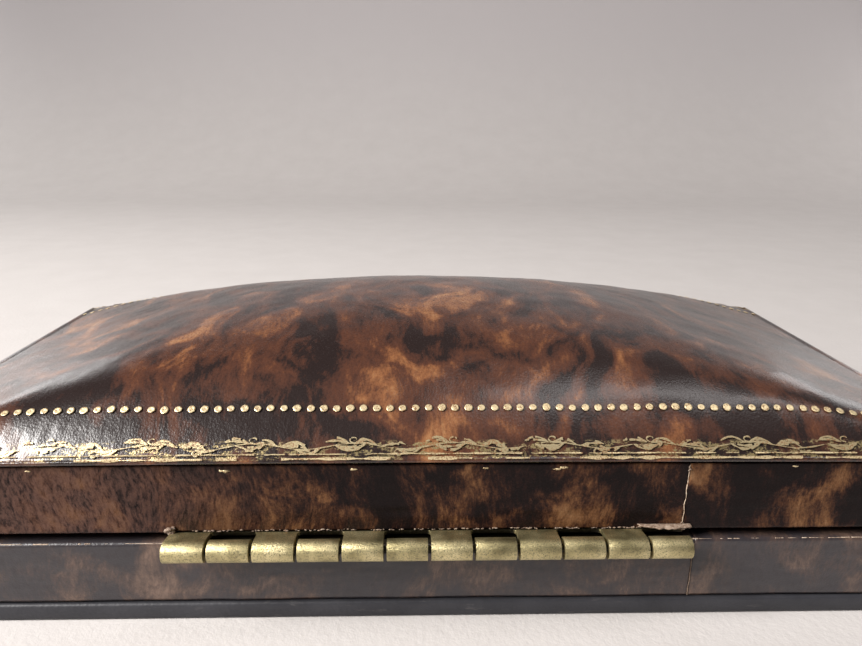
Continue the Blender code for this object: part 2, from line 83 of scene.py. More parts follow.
# The two leather bands
SHEET = 0.7 * MM
TURN_IN = 3.85 * MM  # from the face to the inner edge of the part that is turned in
CORNER = 1.6 * MM
EDGE_ROUND = 0.65 * MM
RIM_SEAM_X = -31.2 * MM
BASE_SEAM_X = -33.1 * MM
SEAM_GAP = 0.12 * MM
BAND_STEP = 0.5 * MM
BORE_ROOM = 1.45 * MM  # the leather is open this far round the button's stem
FACE_STEP = 0.28 * MM
LEAF_ROOM = 0.3 * MM
LEAF_FACE = 1.0 * MM  # from the pin's centre line to where the leather is cut for a leaf
UPPER_SHADE_LINE = FACE_Y + 0.2 * MM  # painted shade: the hinge's leaves are coloured nearly black from here inwards, in the recess behind the face
LOWER_SHADE_LINE = FACE_Y + 1.4 * MM

# Gilt tooling, measured in plan from the lid's long edges
DOT_INSET = 4.8 * MM
DOT_PITCH = 1.6 * MM
DOT_RADIUS = 0.5 * MM
MOTIF = 11.8 * MM
ROLL_SPREAD = 0.95  # rubbing has spread the gold past the tool's lines

# The cloth-covered strips inside
CASE_ROOM = 0.6 * MM  # the velvet lip stops this far from the catch's case
LIP_THICKNESS = 0.76 * MM
LINING_THICKNESS = 0.7 * MM
LINING_GATHER = 0.13 * MM

# Covered buttons that hold the satin pad, in plan
TUFTS = [(x * MM, y * MM) for x, y in ((-40, 0), (-20, -9), (-20, 9), (0, 0), (20, -9), (20, 9), (40, 0))]

random.seed(7)


# ---------------------------------------------------------------- mesh helpers
def new_object(name, mesh, material):
    obj = bpy.data.objects.new(name, mesh)
    bpy.context.scene.collection.objects.link(obj)
    mesh.materials.append(material)
    return obj


def mesh_object(name, points, faces, material, sheet_uv=None):
    """An object from points and faces. sheet_uv holds a place on the flat leather, in mm, for each point."""
    mesh = bpy.data.meshes.new(name)
    mesh.from_pydata([tuple(p) for p in points], [], faces)
    mesh.validate()
    if sheet_uv is not None:
        layer = mesh.uv_layers.new(name="sheet")
        corners = np.empty(len(mesh.loops), np.int32)
        mesh.loops.foreach_get("vertex_index", corners)
        layer.data.foreach_set("uv", np.asarray(sheet_uv, np.float32)[corners].ravel())
    mesh.shade_smooth()
    return new_object(name, mesh, material)


def finish_piece(obj, body, slot, *nodes):
    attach(obj, body)
    if nodes:
        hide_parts(*nodes)
    return obj


def waves(a, b, wavelength, seed, count=14, spread=0.35):
    """A smooth random relief from -1 to 1 over arrays a and b: crossing sine waves near one wavelength."""
    rng = np.random.default_rng(seed)
    total = np.zeros(np.broadcast(a, b).shape)
    for _ in range(count):
        angle = rng.uniform(0, 2 * math.pi)
        number = 2 * math.pi / (wavelength * (1 + rng.uniform(-spread, spread)))
        total += np.sin(number * (a * math.cos(angle) + b * math.sin(angle)) + rng.uniform(0, 2 * math.pi))
    return total / math.sqrt(count * 2)


def bump_of(value, centre, width):
    return np.exp(-(((value - centre) / width) ** 2))


# ---------------------------------------------------------------- material helpers
class Shade:
    """A small helper round one material's node tree."""

    def __init__(self, name):
        self.material = bpy.data.materials.new(name)
        self.material.use_nodes = True
        self.tree = self.material.node_tree
        self.shader = self.tree.nodes["Principled BSDF"]

    def put(self, socket, value):
        if isinstance(value, bpy.types.NodeSocket):
            self.tree.links.new(value, socket)
        elif value is not None:
            socket.default_value = value

    def node(self, kind, inputs=(), **settings):
        made = self.tree.nodes.new(kind)
        for key, value in settings.items():
            setattr(made, key, value)
        for key, value in dict(inputs).items():
            self.put(made.inputs[key], value)
        return made

    def math(self, operation, a, b=0.0, clamp=False):
        return self.node("ShaderNodeMath", {0: a, 1: b}, operation=operation, use_clamp=clamp).outputs[0]

    def place(self, stretch=(1, 1, 1), turn=(0, 0, 0), source="Object"):
        """Coordinates in millimetres, or on the flat sheet when source is sheet, stretched and turned."""
        if source == "sheet":
            start = self.node("ShaderNodeUVMap", uv_map="sheet").outputs[0]
            unit = 1
        else:
            start = self.node("ShaderNodeTexCoord").outputs["Object"]
            unit = 1000
        scale = tuple(unit * part for part in stretch)
        inputs = {"Vector": start, "Scale": scale, "Rotation": turn}
        return self.node("ShaderNodeMapping", inputs).outputs[0]

    def noise(self, where, scale, detail=3, roughness=0.55, distortion=0.0):
        inputs = {
            "Vector": where,
            "Scale": scale,
            "Detail": detail,
            "Roughness": roughness,
            "Distortion": distortion,
        }
        return self.node("ShaderNodeTexNoise", inputs).outputs["Fac"]

    def cells(self, where, scale, feature="F1"):
        inputs = {"Vector": where, "Scale": scale}
        return self.node("ShaderNodeTexVoronoi", inputs, feature=feature).outputs["Distance"]

    def ramp(self, value, *stops):
        made = self.node("ShaderNodeValToRGB", {"Fac": value})
        band = made.color_ramp
        while len(band.elements) < len(stops):
            band.elements.new(0.5)
        for element, (place, color) in zip(band.elements, stops):
            element.position = place
            element.color = (*color, 1) if len(color) == 3 else color
        return made.outputs["Color"]

    def step(self, value, low, high):
        """0 at low and 1 at high, smooth between and level beyond. low may be the larger."""
        inputs = {"Value": value, "From Min": low, "From Max": high}
        made = self.node("ShaderNodeMapRange", inputs, interpolation_type="SMOOTHSTEP")
        return made.outputs["Result"]

    def mix(self, share, a, b):
        made = self.node("ShaderNodeMix", data_type="RGBA")
        self.put(made.inputs[0], share)
        self.put(made.inputs[6], a if isinstance(a, bpy.types.NodeSocket) else (*a, 1))
        self.put(made.inputs[7], b if isinstance(b, bpy.types.NodeSocket) else (*b, 1))
        return made.outputs[2]

    def bump(self, height, depth_mm, below=None, strength=1.0):
        inputs = {"Height": height, "Distance": depth_mm * MM, "Strength": strength}
        made = self.node("ShaderNodeBump", inputs)
        if below is not None:
            self.put(made.inputs["Normal"], below)
        return made.outputs["Normal"]

    def finish(self, **inputs):
        for key, value in inputs.items():
            self.put(self.shader.inputs[key.replace("_", " ")], value)
        return self.material


# ---------------------------------------------------------------- materials
FLAME_STOPS = (0.40, 0.485, 0.575, 0.68, 0.84)
DARK_BROWN = (0.018, 0.0105, 0.0095)
BROWN = (0.062, 0.025, 0.016)
RED_BROWN = (0.088, 0.033, 0.018)
ORANGE = (0.215, 0.086, 0.035)
PALE_ORANGE = (0.42, 0.21, 0.09)
GOLD = (0.80, 0.64, 0.36)
OLIVE_GOLD = (0.34, 0.28, 0.14)
RAW_LEATHER = (0.55, 0.42, 0.31)
PAINTED_SHEEN_BROWN = (0.115, 0.062, 0.048)
SHEEN_FROM = 12 * MM  # painted sheen: the rim's leather is coloured paler from here, towards +X
SHEEN_TO = 46 * MM


TOP_COLORS = (DARK_BROWN, BROWN, RED_BROWN, ORANGE, PALE_ORANGE)
RIM_COLORS = (
    (0.009, 0.006, 0.006),
    (0.018, 0.009, 0.008),
    (0.060, 0.026, 0.015),
    (0.150, 0.070, 0.032),
    (0.26, 0.14, 0.07),
)
BAND_COLORS = (
    (0.034, 0.030, 0.034),
    (0.042, 0.034, 0.036),
    (0.066, 0.045, 0.040),
    (0.120, 0.078, 0.060),
    (0.20, 0.13, 0.10),
)


def tree_calf(
    name,
    colors,
    streak,
    dark_share,
    tuft,
    roughness=0.27,
    gloss_index=1.5,
    polish=0.35,
    gilt=False,
    fade=0.0,
):
    """Polished calf, stained in dark flames over red-brown, with orange flecks and a fine grain.

    colors run from the darkest to the palest, and streak stretches the flames. dark_share moves the whole
    towards dark, tuft is how far single fibres stray, and fade how much painted sheen pales the +X end."""
    m = Shade(name)
    sheet = m.place(source="sheet")
    drift = m.node("ShaderNodeTexNoise", {"Vector": sheet, "Scale": 0.055, "Detail": 2.0}).outputs["Color"]
    drift = m.node("ShaderNodeVectorMath", {0: drift, 1: (0.5, 0.5, 0.5)}, operation="SUBTRACT").outputs[0]
    drift = m.node("ShaderNodeVectorMath", {0: drift, "Scale": 9.0}, operation="SCALE").outputs[0]
    bent = m.node("ShaderNodeVectorMath", {0: sheet, 1: drift}, operation="ADD").outputs[0]
    flames = m.node("ShaderNodeMapping", {"Vector": bent, "Scale": streak}).outputs[0]
    stain = m.noise(flames, 1.0, detail=2.5, roughness=0.5)
    tuft_place = m.node("ShaderNodeMapping", {"Vector": bent, "Scale": (0.42, 0.22, 1)}).outputs[0]
    tufts = m.noise(tuft_place, 1.0, detail=2)
    fibre_place = m.node(
        "ShaderNodeMapping", {"Vector": bent, "Scale": (2.4, 0.75, 1), "Rotation": (0, 0, 0.45)}
    ).outputs[0]
    fibre = m.noise(fibre_place, 1.0, detail=4, roughness=0.7)
    speck = m.noise(sheet, 3.2, detail=2, roughness=0.7)
    level = m.math("ADD", stain, m.math("MULTIPLY", m.math("SUBTRACT", tufts, 0.5), 0.30))
    level = m.math("ADD", level, m.math("MULTIPLY", m.math("SUBTRACT", fibre, 0.5), tuft))
    level = m.math("ADD", level, m.math("MULTIPLY", m.math("SUBTRACT", speck, 0.5), 0.11))
    level = m.math("SUBTRACT", level, dark_share)
    color = m.ramp(level, *zip(FLAME_STOPS, colors))
    mottle_place = m.node("ShaderNodeMapping", {"Vector": bent, "Scale": (1.5, 1.0, 1)}).outputs[0]
    mottle = m.noise(mottle_place, 1.0, detail=4, roughness=0.75)
    color = m.mix(m.math("MULTIPLY", m.step(mottle, 0.52, 0.36), 0.55), color, m.mix(0.5, color, DARK_BROWN))
    # painted sheen: the +X end is coloured paler through the fibre pattern, for the lamp's sheen on that side
    if fade:
        along = m.node("ShaderNodeSeparateXYZ", {0: m.place()}).outputs[0]
        sheen_share = m.math("MULTIPLY", m.step(along, SHEEN_FROM / MM, SHEEN_TO / MM), m.step(fibre, 0.30, 0.62))
        color = m.mix(m.math("MULTIPLY", sheen_share, fade), color, PAINTED_SHEEN_BROWN)
    grain = m.cells(sheet, 4.2)
    pores = m.noise(sheet, 7.0, detail=2)
    creases = m.noise(m.place((0.9, 0.16, 1), source="sheet"), 1.0, detail=5, roughness=0.7)
    gloss = m.math("ADD", roughness - 0.05, m.math("MULTIPLY", speck, 0.12))
    normal = m.bump(creases, 0.10, strength=0.35)
    normal = m.bump(grain, 0.045, normal, strength=0.35)
    normal = m.bump(pores, 0.03, normal, strength=0.3)
    metal = 0.0
    if gilt:
        spot = m.node("ShaderNodeSeparateXYZ", {0: m.place()}).outputs
        from_edge = m.math("SUBTRACT", HALF_DEPTH / MM, m.math("ABSOLUTE", spot[1]))
        in_roll = m.math("MULTIPLY", m.step(from_edge, 0.0, 0.3), m.step(from_edge, 1.9, 1.3))
        worn = m.noise(m.place((0.5, 1.6, 1)), 1.0, detail=5, roughness=0.72)
        leafing = m.math("MULTIPLY", in_roll, m.step(worn, 0.51, 0.56))
        fine = m.noise(m.place(), 3.5, detail=3, roughness=0.7)
        leafing = m.math("MULTIPLY", leafing, m.step(fine, 0.42, 0.54))
        color = m.mix(leafing, color, m.ramp(fine, (0.4, OLIVE_GOLD), (0.62, (0.62, 0.48, 0.24))))
        metal = m.math("MULTIPLY", leafing, 0.75)
    m.finish(
        Base_Color=color,
        Roughness=gloss,
        Normal=normal,
        Metallic=metal,
        IOR=gloss_index,
        Coat_Weight=polish,
        Coat_Roughness=0.18,
    )
    return m.material


def gilt_material(name, gold, paler):
    """Gold leaf, rubbed through in places to the brown below it."""
    m = Shade(name)
    fine = m.noise(m.place(), 4.5, detail=3, roughness=0.7)
    broad = m.noise(m.place(), 0.35, detail=2)
    worn = m.step(m.math("ADD", fine, m.math("MULTIPLY", broad, 0.25)), 0.53, 0.60)
    color = m.mix(worn, (0.24, 0.13, 0.06), m.mix(broad, gold, paler))
    return m.finish(
        Base_Color=color,
        Metallic=m.math("ADD", 0.10, m.math("MULTIPLY", worn, 0.45)),
        Roughness=m.math("ADD", 0.5, m.math("MULTIPLY", worn, -0.14)),
        Normal=m.bump(fine, 0.04, strength=0.6),
    )


def brass_material(name="aged_brass", painted_shade_from=None):
    """Olive-gold brass: sandy speckle, with darker greenish and brighter patches in a broad mottle."""
    m = Shade(name)
    sand = m.noise(m.place(), 5.0, detail=3, roughness=0.75)
    cloud = m.noise(m.place(), 0.30, detail=4, roughness=0.6)
    drawn = m.noise(m.place((0.35, 5, 5)), 1.0, detail=2)
    aged = m.ramp(cloud, (0.35, (0.34, 0.29, 0.15)), (0.52, (0.56, 0.48, 0.26)), (0.68, (0.74, 0.64, 0.37)))
    pits = m.step(sand, 0.50, 0.38)
    color = m.mix(m.math("MULTIPLY", pits, 0.75), aged, (0.12, 0.11, 0.06))
    # painted shade: inward of the given line the leaf is coloured nearly black, for the shade in the recess
    # behind the leather
    if painted_shade_from:
        behind = m.node("ShaderNodeSeparateXYZ", {0: m.place()}).outputs[1]
        painted_shade = m.step(behind, painted_shade_from / MM, painted_shade_from / MM - 0.15)
        color = m.mix(m.math("MULTIPLY", painted_shade, 0.95), color, (0.012, 0.010, 0.008))
    normal = m.bump(sand, 0.07, strength=0.8)
    return m.finish(
        Base_Color=color,
        Metallic=m.math("SUBTRACT", 1.0, m.math("MULTIPLY", pits, 0.35)),
        Roughness=m.math("ADD", 0.36, m.math("MULTIPLY", cloud, 0.2)),
        Normal=m.bump(drawn, 0.02, normal, strength=0.4),
    )


def steel_material():
    m = Shade("steel")
    brushed = m.noise(m.place((0.5, 6, 6)), 1.0, detail=3)
    rust = m.step(m.noise(m.place(), 0.6, detail=5), 0.6, 0.72)
    metal = m.ramp(brushed, (0.3, (0.34, 0.34, 0.35)), (0.7, (0.52, 0.52, 0.52)))
    color = m.mix(rust, metal, (0.13, 0.07, 0.04))
    return m.finish(
        Base_Color=color,
        Metallic=m.math("SUBTRACT", 1.0, m.math("MULTIPLY", rust, 0.6)),
        Roughness=m.math("ADD", 0.28, m.math("MULTIPLY", brushed, 0.2)),
        Normal=m.bump(brushed, 0.02, strength=0.4),
    )


def pin_material():
    """The hinge pin: iron coloured nearly black, painted shade for the dark gaps between the knuckles, with a
    dusty mottle.
    """
    m = Shade("pin_painted_shade")
    dust = m.noise(m.place(), 3.0, detail=4, roughness=0.7)
    color = m.ramp(dust, (0.4, (0.008, 0.007, 0.006)), (0.7, (0.035, 0.028, 0.020)))
    rough = m.math("ADD", 0.55, m.math("MULTIPLY", dust, 0.3))
    return m.finish(Base_Color=color, Roughness=rough, Normal=m.bump(dust, 0.05, strength=0.6))


def paper_material():
    """Dark covering paper with a pebbled grain, scuffed paler in places."""
    m = Shade("dark_covering_paper")
    pebble = m.cells(m.place(), 2.2)
    cloud = m.noise(m.place(), 0.12, detail=4, roughness=0.6)
    scuff = m.step(m.noise(m.place((0.25, 0.25, 1.2)), 1.0, detail=5, roughness=0.7), 0.58, 0.72)
    base = m.ramp(cloud, (0.3, (0.026, 0.026, 0.031)), (0.7, (0.046, 0.046, 0.053)))
    return m.finish(
        Base_Color=m.mix(m.math("MULTIPLY", scuff, 0.5), base, (0.12, 0.11, 0.11)),
        Roughness=m.math("ADD", 0.42, m.math("MULTIPLY", cloud, 0.2)),
        Normal=m.bump(pebble, 0.05, strength=0.5),
        IOR=1.36,
    )


def wood_material():
    """Plain sawn softwood with long growth rings along X."""
    m = Shade("box_wood")
    grain = m.node(
        "ShaderNodeTexWave",
        {"Vector": m.place((0.02, 0.3, 0.3)), "Scale": 1.2, "Distortion": 5.0, "Detail": 3.0},
    ).outputs["Fac"]
    pore = m.noise(m.place((0.15, 4, 4)), 1.0, detail=3)
    rings = m.ramp(grain, (0.2, (0.42, 0.27, 0.14)), (0.8, (0.30, 0.18, 0.09)))
    return m.finish(
        Base_Color=m.mix(m.math("MULTIPLY", pore, 0.35), rings, (0.16, 0.09, 0.045)),
        Roughness=m.math("ADD", 0.5, m.math("MULTIPLY", pore, 0.2)),
        Normal=m.bump(pore, 0.06, strength=0.5),
    )


def velvet_material():
    """Dark red cotton velvet: short pile that is brushed in patches."""
    m = Shade("velvet")
    pile = m.noise(m.place(), 6.0, detail=2, roughness=0.8)
    nap = m.noise(m.place((0.12, 0.12, 0.12)), 1.0, detail=4, roughness=0.6)
    color = m.ramp(nap, (0.36, (0.075, 0.005, 0.011)), (0.62, (0.125, 0.010, 0.020)))
    color = m.mix(m.math("MULTIPLY", pile, 0.3), color, (0.02, 0.001, 0.003))
    return m.finish(
        Base_Color=color,
        Roughness=m.math("ADD", 0.75, m.math("MULTIPLY", nap, 0.2)),
        Normal=m.bump(pile, 0.12, strength=0.8),
        Sheen_Weight=0.9,
        Sheen_Roughness=0.35,
        Sheen_Tint=(0.9, 0.30, 0.33, 1),
    )


def satin_material():
    """Ivory silk satin: fine long floats across, faint yellowing and a soft sheen."""
    m = Shade("satin")
    weft = m.noise(m.place((0.7, 9, 9)), 1.0, detail=2)
    warp = m.noise(m.place((9, 0.7, 0.7)), 1.0, detail=2)
    thread = m.math("ADD", m.math("MULTIPLY", weft, 0.7), m.math("MULTIPLY", warp, 0.3))
    age = m.noise(m.place(), 0.06, detail=4)
    color = m.ramp(age, (0.35, (0.78, 0.68, 0.50)), (0.65, (0.86, 0.79, 0.64)))
    color = m.mix(m.math("MULTIPLY", m.step(thread, 0.5, 0.35), 0.25), color, (0.52, 0.43, 0.28))
    return m.finish(
        Base_Color=color,
        Roughness=m.math("ADD", 0.26, m.math("MULTIPLY", thread, 0.16)),
        Normal=m.bump(thread, 0.05, strength=0.5),
        Sheen_Weight=0.25,
        Anisotropic=0.5,
    )


def raw_leather_material(name, pale):
    """The pale, fibrous inside of the leather, where an edge is cut or torn."""
    m = Shade(name)
    fibre = m.noise(m.place((3, 3, 1.5)), 1.0, detail=4, roughness=0.75)
    color = m.ramp(fibre, (0.34, (0.16, 0.09, 0.055)), (0.52, RAW_LEATHER), (0.7, (0.74, 0.64, 0.52)))
    color = m.mix(pale, BROWN, color)
    return m.finish(
        Base_Color=color,
        Roughness=m.math("ADD", 0.6, m.math("MULTIPLY", fibre, 0.25)),
        Normal=m.bump(fibre, 0.12, strength=0.8),
    )


# ---------------------------------------------------------------- the leather top
def dome_height(x, y):
    """How far the dome stands above its edge, for arrays of x and y."""
    across = np.maximum(1 - (y / HALF_DEPTH) ** 2, 0)
    along = np.maximum(1 - np.abs(x / HALF_WIDTH) ** WIDTH_ARCH_SHAPE, 0)
    over_depth = np.maximum(DEPTH_ARCH * across**DEPTH_ARCH_POWER, 1e-7)
    over_width = np.maximum(WIDTH_ARCH * along**WIDTH_ARCH_POWER, 1e-7)
    return (over_depth**-HIP_SHARPNESS + over_width**-HIP_SHARPNESS) ** (-1 / HIP_SHARPNESS)


def top_relief(x, y):
    """Small hand-made unevenness of the leather over its board, with blind lines along the short edges."""
    from_side = HALF_WIDTH - np.abs(x)
    from_long = HALF_DEPTH - np.abs(y)
    inner = np.clip(np.minimum(from_side, from_long) / (6 * MM), 0, 1)
    relief = 0.10 * MM * inner * waves(x, y, 19 * MM, 3)
    relief += 0.035 * MM * inner * waves(x, y, 6.5 * MM, 5)
    relief += 0.012 * MM * waves(x, y, 2.6 * MM, 11)
    lines = bump_of(from_side, 1.5 * MM, 0.3 * MM) * np.clip(from_long / (1.5 * MM), 0, 1)
    relief -= 0.13 * MM * lines
    relief += 0.10 * MM * bump_of(from_side, 0.75 * MM, 0.35 * MM)
    wrinkled = bump_of(x, 50 * MM, 7 * MM) * bump_of(y, 30 * MM, 2.2 * MM)
    relief += 0.055 * MM * wrinkled * waves(x, y * 0.22, 1.25 * MM, 17, spread=0.3)
    scored = bump_of(x + y * 0.5, 42 * MM, 6 * MM) * bump_of(y, -12 * MM, 9 * MM)
    relief -= 0.05 * MM * scored * np.maximum(waves(x * 0.15, y, 1.9 * MM, 19) - 0.4, 0)
    return relief


def top_height(x, y):
    bow = LIP_BOW * (1 - (x / HALF_WIDTH) ** 2) * (y / HALF_DEPTH) ** 2
    return LIP_TOP + dome_height(x, y) + bow


def on_lid(x, y, lift=0.0):
    """Points on the leather top at plan x, y (arrays), lifted along the normal, and those normals."""
    x, y = np.broadcast_arrays(np.asarray(x, float), np.asarray(y, float))
    step = 0.05 * MM
    z = top_height(x, y) + top_relief(x, y)
    slope_x = (top_height(x + step, y) - top_height(x - step, y)) / (2 * step)
    slope_y = (top_height(x, y + step) - top_height(x, y - step)) / (2 * step)
    normal = np.stack([-slope_x, -slope_y, np.ones_like(z)], -1)
    normal /= np.linalg.norm(normal, axis=-1, keepdims=True)
    return np.stack([x, y, z], -1) + lift * normal, normal


def make_lid_top(material):
    """The domed leather with its rounded, turned lip: a fine grid above, the lip's nose, and a grid below."""
    nose = TOP_SHEET / 2
    count_x = round(2 * HALF_WIDTH / TOP_CELL)
    count_y = round(2 * HALF_DEPTH / TOP_CELL)
    line_x = (HALF_WIDTH - nose) * np.linspace(-1, 1, count_x + 1)
    bunching = 0.4 * math.pi  # rows lie closer together towards the long edges
    line_y = (HALF_DEPTH - nose) * np.sin(np.linspace(-1, 1, count_y + 1) * bunching) / math.sin(bunching)
    grid_x, grid_y = np.meshgrid(line_x, line_y, indexing="ij")
    scale_x = HALF_WIDTH / (HALF_WIDTH - nose)
    scale_y = HALF_DEPTH / (HALF_DEPTH - nose)
    height = top_height(grid_x * scale_x, grid_y * scale_y)
    above = np.stack([grid_x, grid_y, height + top_relief(grid_x, grid_y)], -1).reshape(-1, 3)
    below = np.stack([grid_x, grid_y, height - TOP_SHEET], -1).reshape(-1, 3)
    index = np.arange((count_x + 1) * (count_y + 1)).reshape(count_x + 1, count_y + 1)
    quads = np.stack([index[:-1, :-1], index[1:, :-1], index[1:, 1:], index[:-1, 1:]], -1).reshape(-1, 4)
    rim = np.concatenate([index[:, 0], index[-1, 1:], index[-2::-1, -1], index[0, -2:0:-1]])
    faces = [tuple(q) for q in quads.tolist()]
    faces += [tuple(q) for q in (quads[:, ::-1] + len(above)).tolist()]
    points = [above, below]
    uv = [above[:, :2] / MM, below[:, :2] / MM]
    edge = above[rim]
    middle = (above[rim, 2] + below[rim, 2]) / 2
    side = np.zeros((len(rim), 2))
    side[:, 0] = np.where(np.abs(edge[:, 0]) > HALF_WIDTH - nose - 1e-6, np.sign(edge[:, 0]), 0)
    side[:, 1] = np.where(np.abs(edge[:, 1]) > HALF_DEPTH - nose - 1e-6, np.sign(edge[:, 1]), 0)
    length = np.linalg.norm(side, axis=1, keepdims=True)
    side /= np.maximum(length, 1e-9)
    ragged = 1 + 0.10 * waves(edge[:, 0], edge[:, 1], 4 * MM, 23)
    rings = [rim]
    start = 2 * len(above)
    turns = (28, 56, 90, 124, 152)
    for turn in turns:
        angle = math.radians(turn)
        out = nose * math.sin(angle) * np.minimum(ragged, 1)
        half = (above[rim, 2] - below[rim, 2]) / 2
        ring = np.column_stack([edge[:, :2] + side * out[:, None], middle + half * math.cos(angle)])
        points.append(ring)
        uv.append((edge[:, :2] + side * (nose * angle)) / MM)
        rings.append(start + np.arange(len(rim)))
        start += len(rim)
    rings.append(rim + len(above))
    for first, second in zip(rings, rings[1:]):
        following, next_second = np.roll(first, -1), np.roll(second, -1)
        faces += [tuple(q) for q in np.stack([first, second, next_second, following], -1).tolist()]
    return mesh_object("lid_leather", np.concatenate(points), faces, material, np.concatenate(uv))


# ---------------------------------------------------------------- the leather bands
def perimeter_length():
    return 4 * (FACE_X - CORNER) + 4 * (FACE_Y - CORNER) + 2 * math.pi * CORNER


def round_the_case(distance):
    """The point and outward direction this far round the face, from the back's middle towards -X."""
    straight_x = FACE_X - CORNER
    straight_y = FACE_Y - CORNER
    arc = math.pi / 2 * CORNER
    runs = [
        (straight_x, (0, FACE_Y), (-1, 0), (0, 1)),
        (arc, (-straight_x, straight_y), None, 90),
        (2 * straight_y, (-FACE_X, straight_y), (0, -1), (-1, 0)),
        (arc, (-straight_x, -straight_y), None, 180),
        (2 * straight_x, (-straight_x, -FACE_Y), (1, 0), (0, -1)),
        (arc, (straight_x, -straight_y), None, 270),
        (2 * straight_y, (FACE_X, -straight_y), (0, 1), (1, 0)),
        (arc, (straight_x, straight_y), None, 0),
        (straight_x + 1, (straight_x, FACE_Y), (-1, 0), (0, 1)),
    ]
    distance %= perimeter_length()
    for length, start, along, facing in runs:
        if distance <= length:
            break
        distance -= length
    if along is None:
        angle = math.radians(facing) + distance / CORNER
        out = (math.cos(angle), math.sin(angle))
        return (start[0] + CORNER * out[0], start[1] + CORNER * out[1]), out
    return (start[0] + along[0] * distance, start[1] + along[1] * distance), facing


def band_section(free_edge, covered_edge):
    """The band's section as (depth behind the face, height): the face, the round edge and its turn-in."""
    toward = 1 if covered_edge > free_edge else -1
    steps = round(abs(covered_edge - free_edge) / FACE_STEP)
    section = []
    for step in range(steps + 1):
        height = covered_edge + (free_edge + toward * EDGE_ROUND - covered_edge) * step / steps
        section.append((0.0, height))
    for step in range(1, 7):
        angle = math.radians(15 * step)
        depth = EDGE_ROUND * (1 - math.cos(angle))
        section.append((depth, free_edge + toward * EDGE_ROUND * (1 - math.sin(angle))))
    for step in range(1, 5):
        section.append((EDGE_ROUND + (TURN_IN - EDGE_ROUND) * step / 4, free_edge))
    section.append((TURN_IN, free_edge + toward * SHEET))
    section.append((SHEET, free_edge + toward * SHEET))
    section.append((SHEET, covered_edge))
    return section, steps


def band_places(seam_x, leaf_half):
    """Distances round the case where the band has a ring of points, from one end to the other."""
    total = perimeter_length()
    start = -seam_x + SEAM_GAP / 2
    places = set(np.arange(start, start + total - SEAM_GAP, BAND_STEP).tolist())
    places.add(start + total - SEAM_GAP)
    for edge in (leaf_half, total - leaf_half):
        for nudge in (-0.01 * MM, 0.01 * MM):
            place = edge + nudge
            places.add(place if place > start else place + total)
    return sorted(places)


def band_ring(place, depths, heights, free_edge, covered_edge, leaf_face):
    """The section's points at one place, kept clear of the hinge's leaf."""
    toward = 1 if covered_edge > free_edge else -1
    (x, y), (out_x, out_y) = round_the_case(place)
    z = heights.copy()
    if y > FACE_Y - 0.5 * MM and abs(x) < HINGE_HALF + LEAF_ROOM:
        z = np.maximum(z, leaf_face) if toward > 0 else np.minimum(z, leaf_face)
    if toward > 0:
        bow = LIP_BOW * 0.8 * (1 - (x / HALF_WIDTH) ** 2) * (abs(y) / HALF_DEPTH) ** 2
        z = z + bow * np.clip((z - free_edge) / (covered_edge - free_edge), 0, 1) ** 2
    limit_x = FACE_X - depths
    limit_y = FACE_Y - depths
    px = np.clip(x - out_x * depths, -limit_x, limit_x)
    py = np.clip(y - out_y * depths, -limit_y, limit_y)
    return np.column_stack([px, py, z])


def ripple_face(grid, places, face_heights, free_edge, seed):
    """Moves the face's points in and out a little, less towards the free edge."""
    distance = np.array(places)[:, None]
    height = face_heights[None, :]
    relief = 0.05 * MM * waves(distance, height * 3.2, 26 * MM, seed)
    relief = relief + 0.03 * MM * waves(distance, height * 5.5, 9 * MM, seed + 1)
    relief = relief - 0.06 * MM
    fade = np.clip(np.abs(face_heights - free_edge) / (1.5 * MM), 0.2, 1)
    for number, place in enumerate(places):
        _, (out_x, out_y) = round_the_case(place)
        push = relief[number] * fade
        grid[number, : len(face_heights), 0] += out_x * push
        grid[number, : len(face_heights), 1] += out_y * push


def band_faces(rings, count):
    """Quads between the rings of a strip, and a cap at each of its two ends."""
    faces = []
    for ring in range(rings - 1):
        for step in range(count):
            after = (step + 1) % count
            a, b = ring * count + step, ring * count + after
            faces.append((a, a + count, b + count, b))
    last = (rings - 1) * count
    faces.append(tuple(range(count)))
    faces.append(tuple(range(last + count - 1, last - 1, -1)))
    return faces


def make_band(name, free_edge, covered_edge, leaf_face, seam_x, seed, material):
    """A leather strip round the case from seam to seam, cut away for the hinge's leaf at leaf_face."""
    section, face_steps = band_section(free_edge, covered_edge)
    depths = np.array([d for d, _ in section])
    heights = np.array([h for _, h in section])
    along_section = np.concatenate([[0], np.cumsum(np.hypot(np.diff(depths), np.diff(heights)))])
    places = band_places(seam_x, HINGE_HALF + LEAF_ROOM)
    rings, uv = [], []
    for place in places:
        rings.append(band_ring(place, depths, heights, free_edge, covered_edge, leaf_face))
        uv.append(np.column_stack([np.full(len(section), place / MM), along_section / MM]))
    grid = np.array(rings)
    ripple_face(grid, places, heights[: face_steps + 1], free_edge, seed)
    faces = band_faces(len(places), len(section))
    obj = mesh_object(name, grid.reshape(-1, 3), faces, material, np.array(uv).reshape(-1, 2))
    bm = bmesh.new()
    bm.from_mesh(obj.data)
    bmesh.ops.remove_doubles(bm, verts=bm.verts, dist=1e-7)
    bmesh.ops.recalc_face_normals(bm, faces=bm.faces)
    if covered_edge < free_edge:
        open_stem_bore(bm)
    bm.to_mesh(obj.data)
    bm.free()
    return obj


def open_stem_bore(bm):
    """Takes the leather away round the button's stem, with a sliver of the top edge above it."""
    button_z = (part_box("push_button")[0].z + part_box("push_button")[1].z) / 2
    gone = []
    for face in bm.faces:
        middle = face.calc_center_median()
        if middle.y < -FACE_Y + 1.0 * MM and abs(middle.x) < BORE_ROOM:
            at_back = middle.y > -FACE_Y + 0.5 * MM
            if at_back or math.hypot(middle.x, middle.z - button_z) < BORE_ROOM:
                gone.append(face)
    bmesh.ops.delete(bm, geom=gone, context="FACES")


